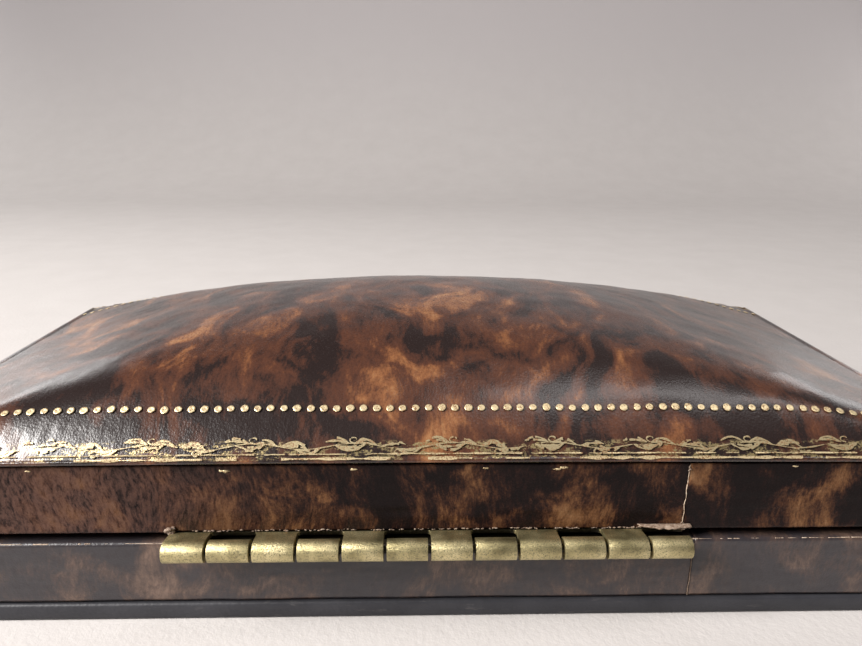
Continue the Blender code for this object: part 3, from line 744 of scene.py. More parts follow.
# ---------------------------------------------------------------- gilt tooling
class Ribbons:
    """Thin closed strips on a surface, gathered into one mesh."""

    def __init__(self):
        self.points = []
        self.faces = []

    def strip(self, centre, normal, widths, crown):
        """A strip along centre, lying square to normal, with a low crown and closed ends."""
        if len(centre) < 2:
            return
        along = np.gradient(centre, axis=0)
        across = np.cross(normal, along)
        across /= np.maximum(np.linalg.norm(across, axis=1, keepdims=True), 1e-12)
        half = across * np.asarray(widths)[:, None] / 2
        rows = [centre + half, centre + normal * crown, centre - half, centre - normal * crown]
        base = len(self.points)
        count = len(centre)
        for place in range(count):
            self.points += [tuple(row[place]) for row in rows]
        for place in range(count - 1):
            for side in range(4):
                a = base + 4 * place + side
                b = base + 4 * place + (side + 1) % 4
                self.faces.append((a, b, b + 4, a + 4))
        self.faces.append((base + 3, base + 2, base + 1, base))
        end = base + 4 * (count - 1)
        self.faces.append((end, end + 1, end + 2, end + 3))

    def disc(self, centre, normal, radius, depth, turns=14):
        """A pressed dot: a low rim round a slightly hollow face, a little out of round."""
        spin = random.uniform(0, 6.28)
        side = np.cross(normal, (0.0, 0.0, 1.0))
        length = np.linalg.norm(side)
        side = side / length if length > 1e-6 else np.array((1.0, 0, 0))
        other = np.cross(normal, side)
        base = len(self.points)
        squash = random.uniform(0.9, 1.06)
        wobble = [random.uniform(0.93, 1.05) for _ in range(turns)]
        for ring_radius, lift in ((1.0, -0.6), (0.94, 0.8), (0.66, 1.0), (0.45, 0.45)):
            for turn in range(turns):
                angle = spin + 2 * math.pi * turn / turns
                reach = radius * ring_radius * wobble[turn]
                place = centre + side * math.cos(angle) * reach + other * math.sin(angle) * reach * squash
                self.points.append(tuple(place + normal * depth * lift))
        self.points.append(tuple(centre + normal * depth * 0.3))
        self.points.append(tuple(centre - normal * depth * 0.6))
        top, bottom = base + 4 * turns, base + 4 * turns + 1
        for turn in range(turns):
            after = (turn + 1) % turns
            for ring in range(3):
                a, b = base + ring * turns + turn, base + ring * turns + after
                self.faces.append((a, b, b + turns, a + turns))
            self.faces.append((base + 3 * turns + turn, base + 3 * turns + after, top))
            self.faces.append((base + after, base + turn, bottom))

    def make(self, name, material):
        obj = mesh_object(name, self.points, self.faces, material)
        bm = bmesh.new()
        bm.from_mesh(obj.data)
        bmesh.ops.recalc_face_normals(bm, faces=bm.faces)
        bm.to_mesh(obj.data)
        bm.free()
        return obj


def make_dots(name, side, material):
    """One row of gilt dots along a long edge of the lid."""
    row = Ribbons()
    count = int((HALF_WIDTH - 1.2 * MM) // DOT_PITCH)
    for number in range(-count, count + 1):
        x = number * DOT_PITCH + random.uniform(-0.05, 0.05) * MM
        inset = DOT_INSET + random.uniform(-0.03, 0.03) * MM
        centre, normal = on_lid(x, side * (HALF_DEPTH - inset), 0.01 * MM)
        row.disc(centre, normal, DOT_RADIUS * random.uniform(0.90, 1.06), 0.025 * MM)
    return row.make(name, material)


def worn_runs(count, keep, shortest):
    """Runs of kept places along a rubbed line, as (first, last) pairs."""
    runs = []
    place = 0
    while place < count - shortest:
        length = shortest + int(random.expovariate(1.0) * keep)
        runs.append((place, min(place + length, count - 1)))
        place += length + 1 + int(random.expovariate(1.0) * keep * 0.28)
    return runs


# The roll's leaves: where each starts on the motif, which way it leans and how far it rises
LEAVES = (
    (0.02, 1, 1.0),
    (0.14, 1, -1),
    (0.30, 1, 0.9),
    (0.44, -1, -0.8),
    (0.58, 1, -0.9),
    (0.72, 1, 1.1),
    (0.98, -1, 0.8),
)


def motif_lines():
    """One repeat of the leafy roll: (along, up, width) lines in shares of the motif and in millimetres."""

    def stem_height(u):
        return 1.42 + 0.40 * math.sin(2 * math.pi * u)

    lines = [[(u, stem_height(u), 0.15) for u in np.linspace(0, 1, 30)]]
    for start, lean, rise in LEAVES:
        for bend in (0.30, 0.78):
            leaf = []
            for t in np.linspace(0, 1, 12):
                up = stem_height(start) + rise * (0.25 * t + bend * math.sin(math.pi * t) * 0.9)
                leaf.append((start + lean * 0.24 * t, up, 0.15 + 0.20 * math.sin(math.pi * t)))
            lines.append(leaf)
    for start, rise in ((0.25, 1), (0.80, -1)):
        curl = []
        for t in np.linspace(0, 1, 14):
            angle = 4.8 * t
            radius = 0.50 * (1 - 0.75 * t)
            up = stem_height(start) + rise * (0.5 - radius * math.cos(angle))
            curl.append((start + 1.5 * radius * math.sin(angle) * MM / MOTIF, up, 0.17))
        lines.append(curl)
    lines.append([(u, 0.42 + 0.05 * math.sin(40 * u), 0.13) for u in np.linspace(0, 1, 30)])
    return lines


def make_roll(name, side, material):
    """The worn leafy roll just inside a long edge of the lid."""
    roll = Ribbons()
    count = int(2 * HALF_WIDTH // MOTIF)
    first = -count * MOTIF / 2
    for repeat in range(count):
        for line in motif_lines():
            along = np.array([u for u, _, _ in line])
            up = np.array([v for _, v, _ in line])
            width = np.array([w for _, _, w in line])
            x = first + (repeat + along) * MOTIF
            y = side * (HALF_DEPTH - (0.66 * up + 0.15) * MM)
            jitter = waves(x, y * 3, 1.1 * MM, 41 + repeat)
            centre, normal = on_lid(np.clip(x, -HALF_WIDTH + MM, HALF_WIDTH - MM), y, 0.0)
            widths = width * MM * ROLL_SPREAD * (0.85 + 0.5 * jitter)
            for start, end in worn_runs(len(x), 9, 2):
                if random.random() < 0.88:
                    piece = slice(start, end + 1)
                    taper = np.maximum(widths[piece], 0.03 * MM)
                    roll.strip(centre[piece], normal[piece], taper, 0.006 * MM)
    obj = roll.make(name, material)
    obj.data.shade_flat()
    return obj


def make_fillet(name, side, material):
    """The gilt line on the lip's nose: broken, and wider where the gold has spread."""
    fillet = Ribbons()
    count = int(2 * HALF_WIDTH / (0.4 * MM))
    x = np.linspace(-HALF_WIDTH + 0.6 * MM, HALF_WIDTH - 0.6 * MM, count)
    for level, wide, keep, seed in ((0.16, 0.30, 26, 51), (0.42, 0.16, 9, 53)):
        y = np.full(count, side * (HALF_DEPTH - level * MM))
        top, _ = on_lid(x, y)
        tilt = 0.95 if level < 0.3 else 0.75
        normal = np.tile((0.0, side * tilt, math.sqrt(1 - tilt * tilt)), (count, 1))
        centre = top + normal * 0.02 * MM
        if level < 0.3:
            centre[:, 2] -= 0.10 * MM
            centre[:, 1] += side * 0.10 * MM
        widths = wide * MM * (0.8 + 0.6 * waves(x, x * 0, 3.1 * MM, seed))
        widths = np.maximum(widths, 0.07 * MM)
        for start, end in worn_runs(count, keep, 3):
            piece = slice(start, end + 1)
            fillet.strip(centre[piece], normal[piece], widths[piece], 0.03 * MM)
    obj = fillet.make(name, material)
    obj.data.shade_flat()
    return obj


# ---------------------------------------------------------------- seams, torn and rubbed edges
class Crumbs:
    """Small irregular lumps of torn leather and old glue, gathered into one mesh."""

    def __init__(self):
        bm = bmesh.new()
        bmesh.ops.create_icosphere(bm, subdivisions=2, radius=1)
        self.ball = [vert.co.copy() for vert in bm.verts]
        self.ball_faces = [tuple(vert.index for vert in face.verts) for face in bm.faces]
        bm.free()
        self.points = []
        self.faces = []

    def add(self, place, size, flat=(1, 1, 1)):
        base = len(self.points)
        offset = Vector([random.uniform(-9, 9) for _ in range(3)])
        for corner in self.ball:
            reach = size * (0.8 + 0.75 * noise.noise(corner * 1.7 + offset))
            self.points.append(tuple(Vector(place) + Vector([c * f * reach for c, f in zip(corner, flat)])))
        self.faces += [tuple(base + i for i in face) for face in self.ball_faces]

    def make(self, name, material):
        return mesh_object(name, self.points, self.faces, material)


def make_seam_edge(name, seam_x, low, high, material):
    """The pale cut edges that show where a band's two ends meet."""
    edge = Ribbons()
    z = np.linspace(low, high, 40)
    x = seam_x + 0.06 * MM * waves(z, z * 0, 2.4 * MM, 81)
    y = np.full(len(z), FACE_Y - 0.01 * MM)
    widths = 0.11 * MM * (1 + 0.5 * waves(z, z * 0, 1.3 * MM, 83))
    normal = np.tile((0.0, 1.0, 0.0), (len(z), 1))
    edge.strip(np.stack([x, y, z], -1), normal, np.maximum(widths, 0.05 * MM), 0.07 * MM)
    return edge.make(name, material)


def make_frayed_edge(name, material):
    """Torn fibres along the leather's cut edge above the hinge, thickest at the hinge's two ends."""
    crumbs = Crumbs()
    half = HINGE_HALF
    edge_z = HINGE_Z + LEAF_FACE + 0.02 * MM
    for _ in range(170):
        x = random.uniform(-half, half)
        near_end = max(0.0, (-x / half - 0.72) / 0.28)
        size = (0.05 + 0.09 * random.random() + 0.16 * near_end * random.random()) * MM
        place = (x, FACE_Y + random.uniform(0.0, 0.10) * MM, edge_z + random.uniform(-0.06, 0.1) * MM)
        crumbs.add(place, size, (random.uniform(1, 2.8), 0.8, 0.7))
    for _ in range(16):
        x = half + random.uniform(-0.5, 0.35) * MM
        place = (x, FACE_Y + random.uniform(0.05, 0.45) * MM, edge_z + random.uniform(-0.1, 0.5) * MM)
        crumbs.add(place, random.uniform(0.16, 0.34) * MM, (1.3, 1, 0.9))
    for _ in range(14):
        x = -half + random.uniform(-0.6, 1.0) * MM
        place = (x, FACE_Y + random.uniform(0.05, 0.5) * MM, edge_z + random.uniform(-0.1, 0.35) * MM)
        crumbs.add(place, random.uniform(0.12, 0.26) * MM, (1.6, 1, 0.7))
    for height in (RIM_LOW.z + 1.0 * MM, RIM_HIGH.z - 0.45 * MM):
        for _ in range(4):
            x = RIM_SEAM_X + random.uniform(-0.12, 0.12) * MM
            place = (x, FACE_Y + 0.04 * MM, height + random.uniform(-0.3, 0.3) * MM)
            crumbs.add(place, random.uniform(0.10, 0.20) * MM, (1, 0.6, 1.2))
    return crumbs.make(name, material)


def make_torn_curl(name, material):
    """A tongue of torn leather that curls out over the hinge's last knuckle."""
    count_u, count_v = 34, 10
    points, faces = [], []
    for i in range(count_u + 1):
        u = i / count_u
        x = -HINGE_HALF - 0.9 * MM + 6.6 * MM * u
        reach = (0.25 + 0.75 * math.sin(math.pi * min(1, 0.12 + u * 0.9)) ** 0.7) * 1.25 * MM
        reach *= 1 + 0.35 * noise.noise(Vector((u * 9, 3, 1)))
        for j in range(count_v + 1):
            v = j / count_v
            turn = 2.2 * v
            ripple = 0.10 * MM * noise.noise(Vector((u * 7, v * 2.5, 5)))
            out = reach * math.sin(turn) / 2.2 * 1.25
            up = 0.42 * MM - reach * 0.30 * (1 - math.cos(turn)) / 2
            drift = 0.3 * MM * v * math.sin(u * 5)
            y = FACE_Y + 0.05 * MM + out + ripple
            z = HINGE_Z + LEAF_FACE + 0.05 * MM + up + ripple
            points.append((x + drift, y, z))
    for i in range(count_u):
        for j in range(count_v):
            a = i * (count_v + 1) + j
            faces.append((a, a + count_v + 1, a + count_v + 2, a + 1))
    obj = mesh_object(name, points, faces, material)
    thick = obj.modifiers.new("leather thickness", "SOLIDIFY")
    thick.thickness = 0.14 * MM
    thick.offset = 0
    return obj


def make_edge_highlight_strips(name, material):
    """Pale strips of raw leather along the base's top back edge, on both sides of the hinge and more on the
    +X side: a painted highlight of the rounded edge.
    """
    edge = Ribbons()
    normal_one = (0.0, 0.62, 0.785)
    for side, keep in ((1, 16), (-1, 6)):
        count = 190
        x = side * np.linspace(HINGE_HALF + 0.8 * MM, FACE_X - 2 * MM, count)
        y = np.full(count, FACE_Y - 0.23 * MM) + 0.02 * MM * waves(x, x * 0, 7 * MM, 91)
        z = np.full(count, BAND_HIGH.z - 0.16 * MM) + 0.015 * MM * waves(x, x * 0, 5 * MM, 93)
        widths = np.maximum(0.10 * MM * (1 + 0.7 * waves(x, x * 0, 2.2 * MM, 95)), 0.04 * MM)
        normal = np.tile(normal_one, (count, 1))
        for start, end in worn_runs(count, keep, 2):
            piece = slice(start, end + 1)
            edge.strip(np.stack([x, y, z], -1)[piece], normal[piece], widths[piece], 0.02 * MM)
    return edge.make(name, material)


def make_flakes(name, material):
    """Stray flakes of gold on the rim below the lip."""
    flakes = Crumbs()
    for x in (24.5, 24.1, -6.7, -15.3, -16.0, 9.0, -44.0, 47.0):
        height = RIM_HIGH.z - random.uniform(0.25, 0.6) * MM
        place = (x * MM, FACE_Y - 0.02 * MM, height)
        flakes.add(place, random.uniform(0.18, 0.36) * MM, (1.7, 0.16, 0.6))
    return flakes.make(name, material)


# ---------------------------------------------------------------- refined CAD shapes
def refine(name, node, width, material, body, slot, segments=3):
    """A smooth copy of a CAD node with its edges eased, which stands for that node."""
    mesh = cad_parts[node].data.copy()
    mesh.name = name
    mesh.materials.clear()
    obj = new_object(name, mesh, material)
    bm = bmesh.new()
    bm.from_mesh(mesh)
    bmesh.ops.remove_doubles(bm, verts=bm.verts, dist=2e-6)
    bmesh.ops.dissolve_limit(bm, angle_limit=math.radians(2), verts=bm.verts, edges=bm.edges)
    bmesh.ops.recalc_face_normals(bm, faces=bm.faces)
    bm.to_mesh(mesh)
    bm.free()
    mesh.shade_smooth()
    ease = obj.modifiers.new("eased edges", "BEVEL")
    ease.width = width
    ease.segments = segments
    ease.limit_method = "ANGLE"
    ease.angle_limit = math.radians(32)
    ease.harden_normals = True
    return finish_piece(obj, body, slot, node)


# ---------------------------------------------------------------- padded and covered pieces inside
def get_points(mesh):
    points = np.empty(3 * len(mesh.vertices))
    mesh.vertices.foreach_get("co", points)
    return points.reshape(-1, 3)


def get_normals(mesh):
    normals = np.empty(3 * len(mesh.vertices))
    mesh.vertices.foreach_get("normal", normals)
    return normals.reshape(-1, 3)


def set_points(mesh, points):
    mesh.vertices.foreach_set("co", np.asarray(points).ravel())
    mesh.update()


def bake(obj):
    """Puts the result of obj's modifiers into its mesh."""
    graph = bpy.context.evaluated_depsgraph_get()
    made = bpy.data.meshes.new_from_object(obj.evaluated_get(graph))
    old = obj.data
    obj.modifiers.clear()
    obj.data = made
    bpy.data.meshes.remove(old)
    made.shade_smooth()


def soft_copy(name, node, cell, shrink, material):
    """A copy of a CAD solid with an even skin of small cells and softened edges, a little smaller."""
    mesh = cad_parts[node].data.copy()
    mesh.name = name
    mesh.materials.clear()
    obj = new_object(name, mesh, material)
    cells = obj.modifiers.new("cells", "REMESH")
    cells.mode = "VOXEL"
    cells.voxel_size = cell
    soften = obj.modifiers.new("soften", "SMOOTH")
    soften.factor = 0.5
    soften.iterations = 3
    bake(obj)
    set_points(obj.data, get_points(obj.data) - shrink * get_normals(obj.data))
    return obj


def swell(obj, free, room, pressure=4.0):
    """Fills a piece out with a short cloth simulation.

    Points not in free are held, and room caps how far each point may move."""
    start = get_points(obj.data)
    held = obj.vertex_groups.new(name="held")
    held.add([int(number) for number in np.flatnonzero(~free)], 1.0, "REPLACE")
    cloth = obj.modifiers.new("filling", "CLOTH")
    cloth.settings.quality = 5
    cloth.settings.use_pressure = True
    cloth.settings.uniform_pressure_force = pressure
    cloth.settings.effector_weights.gravity = 0
    cloth.settings.vertex_group_mass = "held"
    for number in range(1, 21):
        bpy.context.scene.frame_set(number)
    graph = bpy.context.evaluated_depsgraph_get()
    filled = obj.evaluated_get(graph)
    end = get_points(filled.to_mesh())
    filled.to_mesh_clear()
    obj.modifiers.remove(cloth)
    obj.vertex_groups.clear()
    move = np.nan_to_num(end - start)
    length = np.maximum(np.linalg.norm(move, axis=1), 1e-9)
    move *= np.minimum(1, room / length)[:, None]
    set_points(obj.data, start + move)


def make_finer(obj):
    finer = obj.modifiers.new("finer", "SUBSURF")
    finer.levels = 1
    finer.render_levels = 1
    bake(obj)


def gathers(points, half_x, half_y, reach):
    """Small folds that run in from a pad's edges, from 0 to 1."""
    x, y = points[:, 0], points[:, 1]
    fade_y = np.exp(-np.maximum(half_y - np.abs(y), 0) / reach)
    fade_x = np.exp(-np.maximum(half_x - np.abs(x), 0) / reach)
    folds_x = np.maximum(waves(x, y * 0.25, 2.6 * MM, 101), -0.5)
    folds_y = np.maximum(waves(x * 0.25, y, 2.6 * MM, 103), -0.5)
    return fade_y * folds_x + fade_x * folds_y


def inside_edge(points, half_x, half_y):
    return np.minimum(half_x - np.abs(points[:, 0]), half_y - np.abs(points[:, 1]))


def pull_of_tufts(points, reach):
    """1 at each covered button, fading over reach."""
    pull = np.zeros(len(points))
    for x, y in TUFTS:
        away = np.hypot(points[:, 0] - x, points[:, 1] - y)
        pull = np.maximum(pull, np.exp(-away / reach))
    return pull


def creases_round_tufts(points):
    """Short creases that run out from each covered button, from 0."""
    total = np.zeros(len(points))
    for number, (x, y) in enumerate(TUFTS):
        away = np.hypot(points[:, 0] - x, points[:, 1] - y)
        turn = np.arctan2(points[:, 1] - y, points[:, 0] - x)
        rays = np.maximum(np.sin(7 * turn + number) + 0.6 * np.sin(11 * turn + 2 * number), 0)
        total += rays * np.exp(-away / (5 * MM)) * np.clip(away / (2 * MM), 0, 1)
    return total


def make_satin_pad():
    """The padded satin inside the lid, gathered round its edge and held by a few covered buttons."""
    obj = soft_copy("satin_lid_pad", "lid_satin_pad", 1.3 * MM, 0.12 * MM, satin)
    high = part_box("lid_satin_pad")[1]
    points, normals = get_points(obj.data), get_normals(obj.data)
    edge = inside_edge(points, high.x, high.y)
    under = normals[:, 2] < -0.5
    crown = 1 - np.exp(-np.maximum(edge, 0) / (4 * MM))
    room = 2.3 * MM * crown * (1 - pull_of_tufts(points, 4.5 * MM))
    swell(obj, under & (edge > 1.2 * MM), room)
    make_finer(obj)
    points, normals = get_points(obj.data), get_normals(obj.data)
    edge = inside_edge(points, high.x, high.y)
    under = normals[:, 2] < -0.5
    folds = gathers(points, high.x, high.y, 8 * MM)
    lift = 1.5 * MM * pull_of_tufts(points, 2.8 * MM) - 0.38 * MM * folds * np.clip(edge / MM, 0.2, 1)
    lift += 0.42 * MM * creases_round_tufts(points)
    lift += 0.16 * MM * waves(points[:, 0], points[:, 1], 9 * MM, 105)
    points[:, 2] += np.where(under, lift, 0)
    set_points(obj.data, points)
    finish_piece(obj, "lid", "satin", "lid_satin_pad")
    make_satin_buttons(points[under])


def make_satin_buttons(underside):
    for number, (x, y) in enumerate(TUFTS, start=1):
        nearest = underside[np.argmin(np.hypot(underside[:, 0] - x, underside[:, 1] - y))]
        button = Crumbs()
        button.add((x, y, nearest[2] - 0.35 * MM), 1.7 * MM, (1, 1, 0.42))
        finish_piece(button.make(f"satin_button_{number}", satin), "lid", "satin")


def make_well_cushion():
    """The crowned velvet cushion on the well's floor."""
    obj = soft_copy("well_pad", "well_cushion", 1.0 * MM, 0.10 * MM, velvet)
    points, normals = get_points(obj.data), get_normals(obj.data)
    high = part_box("well_cushion")[1]
    edge = inside_edge(points, high.x, high.y)
    upper = normals[:, 2] > 0.4
    crown = 1 - np.exp(-np.maximum(edge, 0) / (5 * MM))
    swell(obj, upper & (edge > 0.8 * MM), 1.5 * MM * crown)
    make_finer(obj)
    points, normals = get_points(obj.data), get_normals(obj.data)
    edge = inside_edge(points, high.x, high.y)
    upper = normals[:, 2] > 0.4
    crown = 1 - np.exp(-np.maximum(edge, 0) / (5 * MM))
    folds = gathers(points, high.x, high.y, 3.5 * MM)
    rough = 0.12 * MM * waves(points[:, 0], points[:, 1], 14 * MM, 107)
    points[:, 2] += np.where(upper, crown * (0.7 * MM + rough) - 0.16 * MM * folds, 0)
    set_points(obj.data, points)
    finish_piece(obj, "base", "velvet", "well_cushion")


def make_surround():
    """The velvet-covered block round the well, with a little wadding under its top."""
    obj = soft_copy("velvet_block", "velvet_surround", 1.1 * MM, 0.06 * MM, velvet)
    points, normals = get_points(obj.data), get_normals(obj.data)
    upper = normals[:, 2] > 0.6
    swell(obj, upper, 0.35 * MM * np.ones(len(points)))
    points, normals = get_points(obj.data), get_normals(obj.data)
    rough = 0.07 * MM * waves(points[:, 0], points[:, 1], 8 * MM, 109)
    points[:, 2] += np.where(upper, rough, 0)
    set_points(obj.data, points)
    obj.modifiers.new("finer", "SUBSURF").levels = 1
    finish_piece(obj, "base", "velvet", "velvet_surround")


def rounded_path(half_x, half_y, corner, spacing):
    """Points, outward directions and distances round a rounded rectangle, from the middle of the front."""
    points, outward = [], []

    def run(start, end, facing):
        count = max(2, round(math.dist(start, end) / spacing))
        for step in range(count):
            t = step / count
            points.append((start[0] + (end[0] - start[0]) * t, start[1] + (end[1] - start[1]) * t))
            outward.append(facing)

    def arc(middle, first):
        for step in range(6):
            angle = math.radians(first + 90 * step / 6)
            facing = (math.cos(angle), math.sin(angle))
            points.append((middle[0] + corner * facing[0], middle[1] + corner * facing[1]))
            outward.append(facing)

    side_x, side_y = half_x - corner, half_y - corner
    run((0, -half_y), (side_x, -half_y), (0, -1))
    arc((side_x, -side_y), -90)
    run((half_x, -side_y), (half_x, side_y), (1, 0))
    arc((side_x, side_y), 0)
    run((side_x, half_y), (-side_x, half_y), (0, 1))
    arc((-side_x, side_y), 90)
    run((-half_x, side_y), (-half_x, -side_y), (-1, 0))
    arc((-side_x, -side_y), 180)
    run((-side_x, -half_y), (0, -half_y), (0, -1))
    points = np.array(points)
    steps = np.linalg.norm(np.diff(points, axis=0), axis=1)
    return points, np.array(outward), np.concatenate([[0], np.cumsum(steps)])


def make_spring():
    """The coil spring behind the bolt."""
    low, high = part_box("catch_spring")
    wire = 0.13 * MM
    radius = (high.x - low.x) / 2 - wire
    middle_x, middle_z = (low.x + high.x) / 2, (low.z + high.z) / 2
    turns, sides, count = 5.5, 8, 130
    points, faces = [], []
    for step in range(count + 1):
        t = step / count
        angle = 2 * math.pi * turns * t
        out = Vector((math.cos(angle), 0, math.sin(angle)))
        centre = Vector((middle_x, low.y + wire + (high.y - low.y - 2 * wire) * t, middle_z)) + out * radius
        for side in range(sides):
            around = 2 * math.pi * side / sides
            points.append(centre + wire * (out * math.cos(around) + Vector((0, math.sin(around), 0))))
    for step in range(count):
        for side in range(sides):
            a, b = step * sides + side, step * sides + (side + 1) % sides
            faces.append((a, b, b + sides, a + sides))
    faces.append(tuple(range(sides)))
    faces.append(tuple(range(count * sides + sides - 1, count * sides - 1, -1)))
    obj = finish_piece(mesh_object("coil_spring", points, faces, steel), "base", "steel", "catch_spring")
    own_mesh(obj)


def make_strip(name, node, thick, gather, gap, material):
    """A cloth-covered strip that stands round the inside, gathered by gather.

    It stops gap short of the front's middle on each side, and is a closed ring where gap is 0."""
    low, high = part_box(node)
    path, outward, distance = rounded_path(high.x - 0.02 * MM, high.y - 0.02 * MM, 0.9 * MM, 0.45 * MM)
    keep = ~((path[:, 1] < 0) & (np.abs(path[:, 0]) < gap))
    path, outward, distance = path[keep], outward[keep], distance[keep]
    round_off = thick / 2
    section = [(0, low.z + round_off), (0, high.z - round_off)]
    for step in range(1, 6):
        angle = math.radians(30 * step)
        section.append((round_off * (1 - math.cos(angle)), high.z - round_off * (1 - math.sin(angle))))
    levels = 8
    for step in range(levels + 1):
        section.append((thick, high.z - round_off + (low.z - high.z + 2 * round_off) * step / levels))
    for step in range(1, 6):
        angle = math.radians(30 * step)
        section.append((thick - round_off * (1 - math.cos(angle)), low.z + round_off * (1 - math.sin(angle))))
    depth = np.array([d for d, _ in section])
    level = np.array([z for _, z in section])
    inner = np.clip(depth / thick, 0, 1) ** 2
    folds = np.maximum(waves(distance[:, None], level[None, :] * 0.35, 1.9 * MM, 111), -0.6)
    drift = waves(distance[:, None], level[None, :], 9 * MM, 113)
    inward = depth[None, :] + inner[None, :] * (gather * folds + 0.03 * MM * drift - 0.03 * MM)
    x = path[:, 0, None] - outward[:, 0, None] * inward
    y = path[:, 1, None] - outward[:, 1, None] * inward
    z = np.broadcast_to(level, x.shape)
    grid = np.stack([x, y, z], -1)
    rows, count = x.shape
    faces = []
    for row in range(rows if gap == 0 else rows - 1):
        following = (row + 1) % rows
        for step in range(count):
            after = (step + 1) % count
            a, b = row * count, following * count
            faces.append((a + step, b + step, b + after, a + after))
    if gap:
        faces.append(tuple(range(count)))
        faces.append(tuple(range(rows * count - 1, (rows - 1) * count - 1, -1)))
    return mesh_object(name, grid.reshape(-1, 3), faces, material)


# ---------------------------------------------------------------- stage, lights, camera
def make_stage():
    """A pale paper floor that curves up behind the case into a backdrop."""
    m = Shade("pale_paper")
    mottle = m.noise(m.place(), 0.06, detail=5, roughness=0.65)
    fibre = m.noise(m.place(), 0.9, detail=3, roughness=0.7)
    color = m.ramp(mottle, (0.3, (0.575, 0.545, 0.530)), (0.7, (0.61, 0.58, 0.565)))
    height = m.node("ShaderNodeSeparateXYZ", {0: m.place()}).outputs[2]
    # painted shade: the paper is coloured darker with height over the first 190 mm, for the light falling off
    # up the backdrop
    color = m.mix(m.step(height, 0, 190), color, (0.54, 0.51, 0.515))
    m.finish(
        Base_Color=color,
        Roughness=m.math("ADD", 0.75, m.math("MULTIPLY", fibre, 0.2)),
        Normal=m.bump(fibre, 0.25, strength=0.4),
    )
    reach, turn, height = 0.62, 0.22, 1.3
    front, wide = 5.0, 7.0
    profile = [(front, 0.0), (0.3, 0.0), (0.0, 0.0), (-reach + turn, 0.0)]
    for step in range(1, 13):
        angle = math.radians(90 * step / 12)
        profile.append((-reach + turn - turn * math.sin(angle), turn * (1 - math.cos(angle))))
    profile.append((-reach, height))
    points, faces = [], []
    for number in range(9):
        x = wide * (number / 8 - 0.5)
        points += [(x, y, z) for y, z in profile]
    count = len(profile)
    for number in range(8):
        for step in range(count - 1):
            a = number * count + step
            faces.append((a, a + count, a + count + 1, a + 1))
    floor = mesh_object("paper_floor", points, faces, m.material)


def area_light(name, place, target, size, watts, color, spread=180):
    data = bpy.data.lights.new(name, "AREA")
    data.shape = "RECTANGLE"
    data.size, data.size_y = size
    data.energy = watts
    data.spread = math.radians(spread)
    data.color = color
    lamp = bpy.data.objects.new(name, data)
    bpy.context.scene.collection.objects.link(lamp)
    lamp.location = place
    lamp.rotation_euler = (Vector(target) - Vector(place)).to_track_quat("-Z", "Y").to_euler()


def make_lights():
    world = bpy.data.worlds.new("studio")
    bpy.context.scene.world = world
    world.use_nodes = True
    background = world.node_tree.nodes["Background"]
    background.inputs["Color"].default_value = (0.95, 0.92, 0.93, 1)
    background.inputs["Strength"].default_value = 0.10
    middle = (0, 0, 0.02)
    warm, cool, pink = (1, 0.97, 0.94), (1, 0.98, 0.97), (1, 0.96, 0.95)
    area_light("main", (0.62, 0.30, 0.52), middle, (0.34, 0.34), watts=5.7, color=warm, spread=110)
    area_light("window", (0.56, -0.52, 0.15), middle, (0.30, 0.13), watts=0.42, color=cool)
    area_light("side", (-0.60, -0.46, 0.16), middle, (0.30, 0.14), watts=0.26, color=(1, 0.97, 0.96))
    area_light("backdrop", (-0.40, 0.05, 0.9), (-0.22, -0.62, 0.12), (0.6, 0.15), watts=1.5, color=pink)


# The camera, fitted to the case's edges: a phone's main lens, close behind the case and above it
CAMERA_PLACE = (1.717 * MM, 99.996 * MM, 60.475 * MM)
CAMERA_TURN = 1.484
CAMERA_DOWN = 17.368
CAMERA_ROLL = 0.413
CAMERA_LENS = 27.02


def make_camera():
    data = bpy.data.cameras.new("camera")
    data.lens = CAMERA_LENS
    data.sensor_width = 36
    data.clip_start = 0.005
    camera = bpy.data.objects.new("camera", data)
    bpy.context.scene.collection.objects.link(camera)
    heading = Matrix.Rotation(math.radians(180 - CAMERA_TURN), 4, "Z")
    tilt = Matrix.Rotation(math.radians(90 - CAMERA_DOWN), 4, "X")
    roll = Matrix.Rotation(math.radians(CAMERA_ROLL), 4, "Z")
    camera.matrix_world = Matrix.Translation(CAMERA_PLACE) @ heading @ tilt @ roll
    bpy.context.scene.camera = camera


# ---------------------------------------------------------------- build
make_camera()
make_stage()
make_lights()
bpy.context.scene.view_settings.view_transform = "Standard"

top_leather = tree_calf("tree_calf_top", TOP_COLORS, (0.105, 0.05, 1), dark_share=0.022, tuft=0.30, gilt=True)
rim_leather = tree_calf(
    "tree_calf_rim",
    RIM_COLORS,
    (0.17, 0.055, 1),
    dark_share=0.02,
    tuft=0.45,
    roughness=0.26,
    gloss_index=1.18,
    polish=0.0,
    fade=0.75,
)
band_leather = tree_calf(
    "tree_calf_band",
    BAND_COLORS,
    (0.15, 0.06, 1),
    dark_share=0.02,
    tuft=0.42,
    roughness=0.30,
    gloss_index=1.4,
)
gilt = gilt_material("worn_gilt", GOLD, (0.80, 0.66, 0.42))
roll_gilt = gilt_material("rubbed_gilt", (0.43, 0.345, 0.185), (0.54, 0.45, 0.28))
brass = brass_material()
upper_brass = brass_material("aged_brass_upper_leaf", UPPER_SHADE_LINE)
lower_brass = brass_material("aged_brass_lower_leaf", LOWER_SHADE_LINE)
steel = steel_material()
pin_painted_black = pin_material()
paper = paper_material()
wood = wood_material()
velvet = velvet_material()
satin = satin_material()
raw = raw_leather_material("raw_leather", 1.0)
band_raw = raw_leather_material("raw_leather_dull", 0.45)

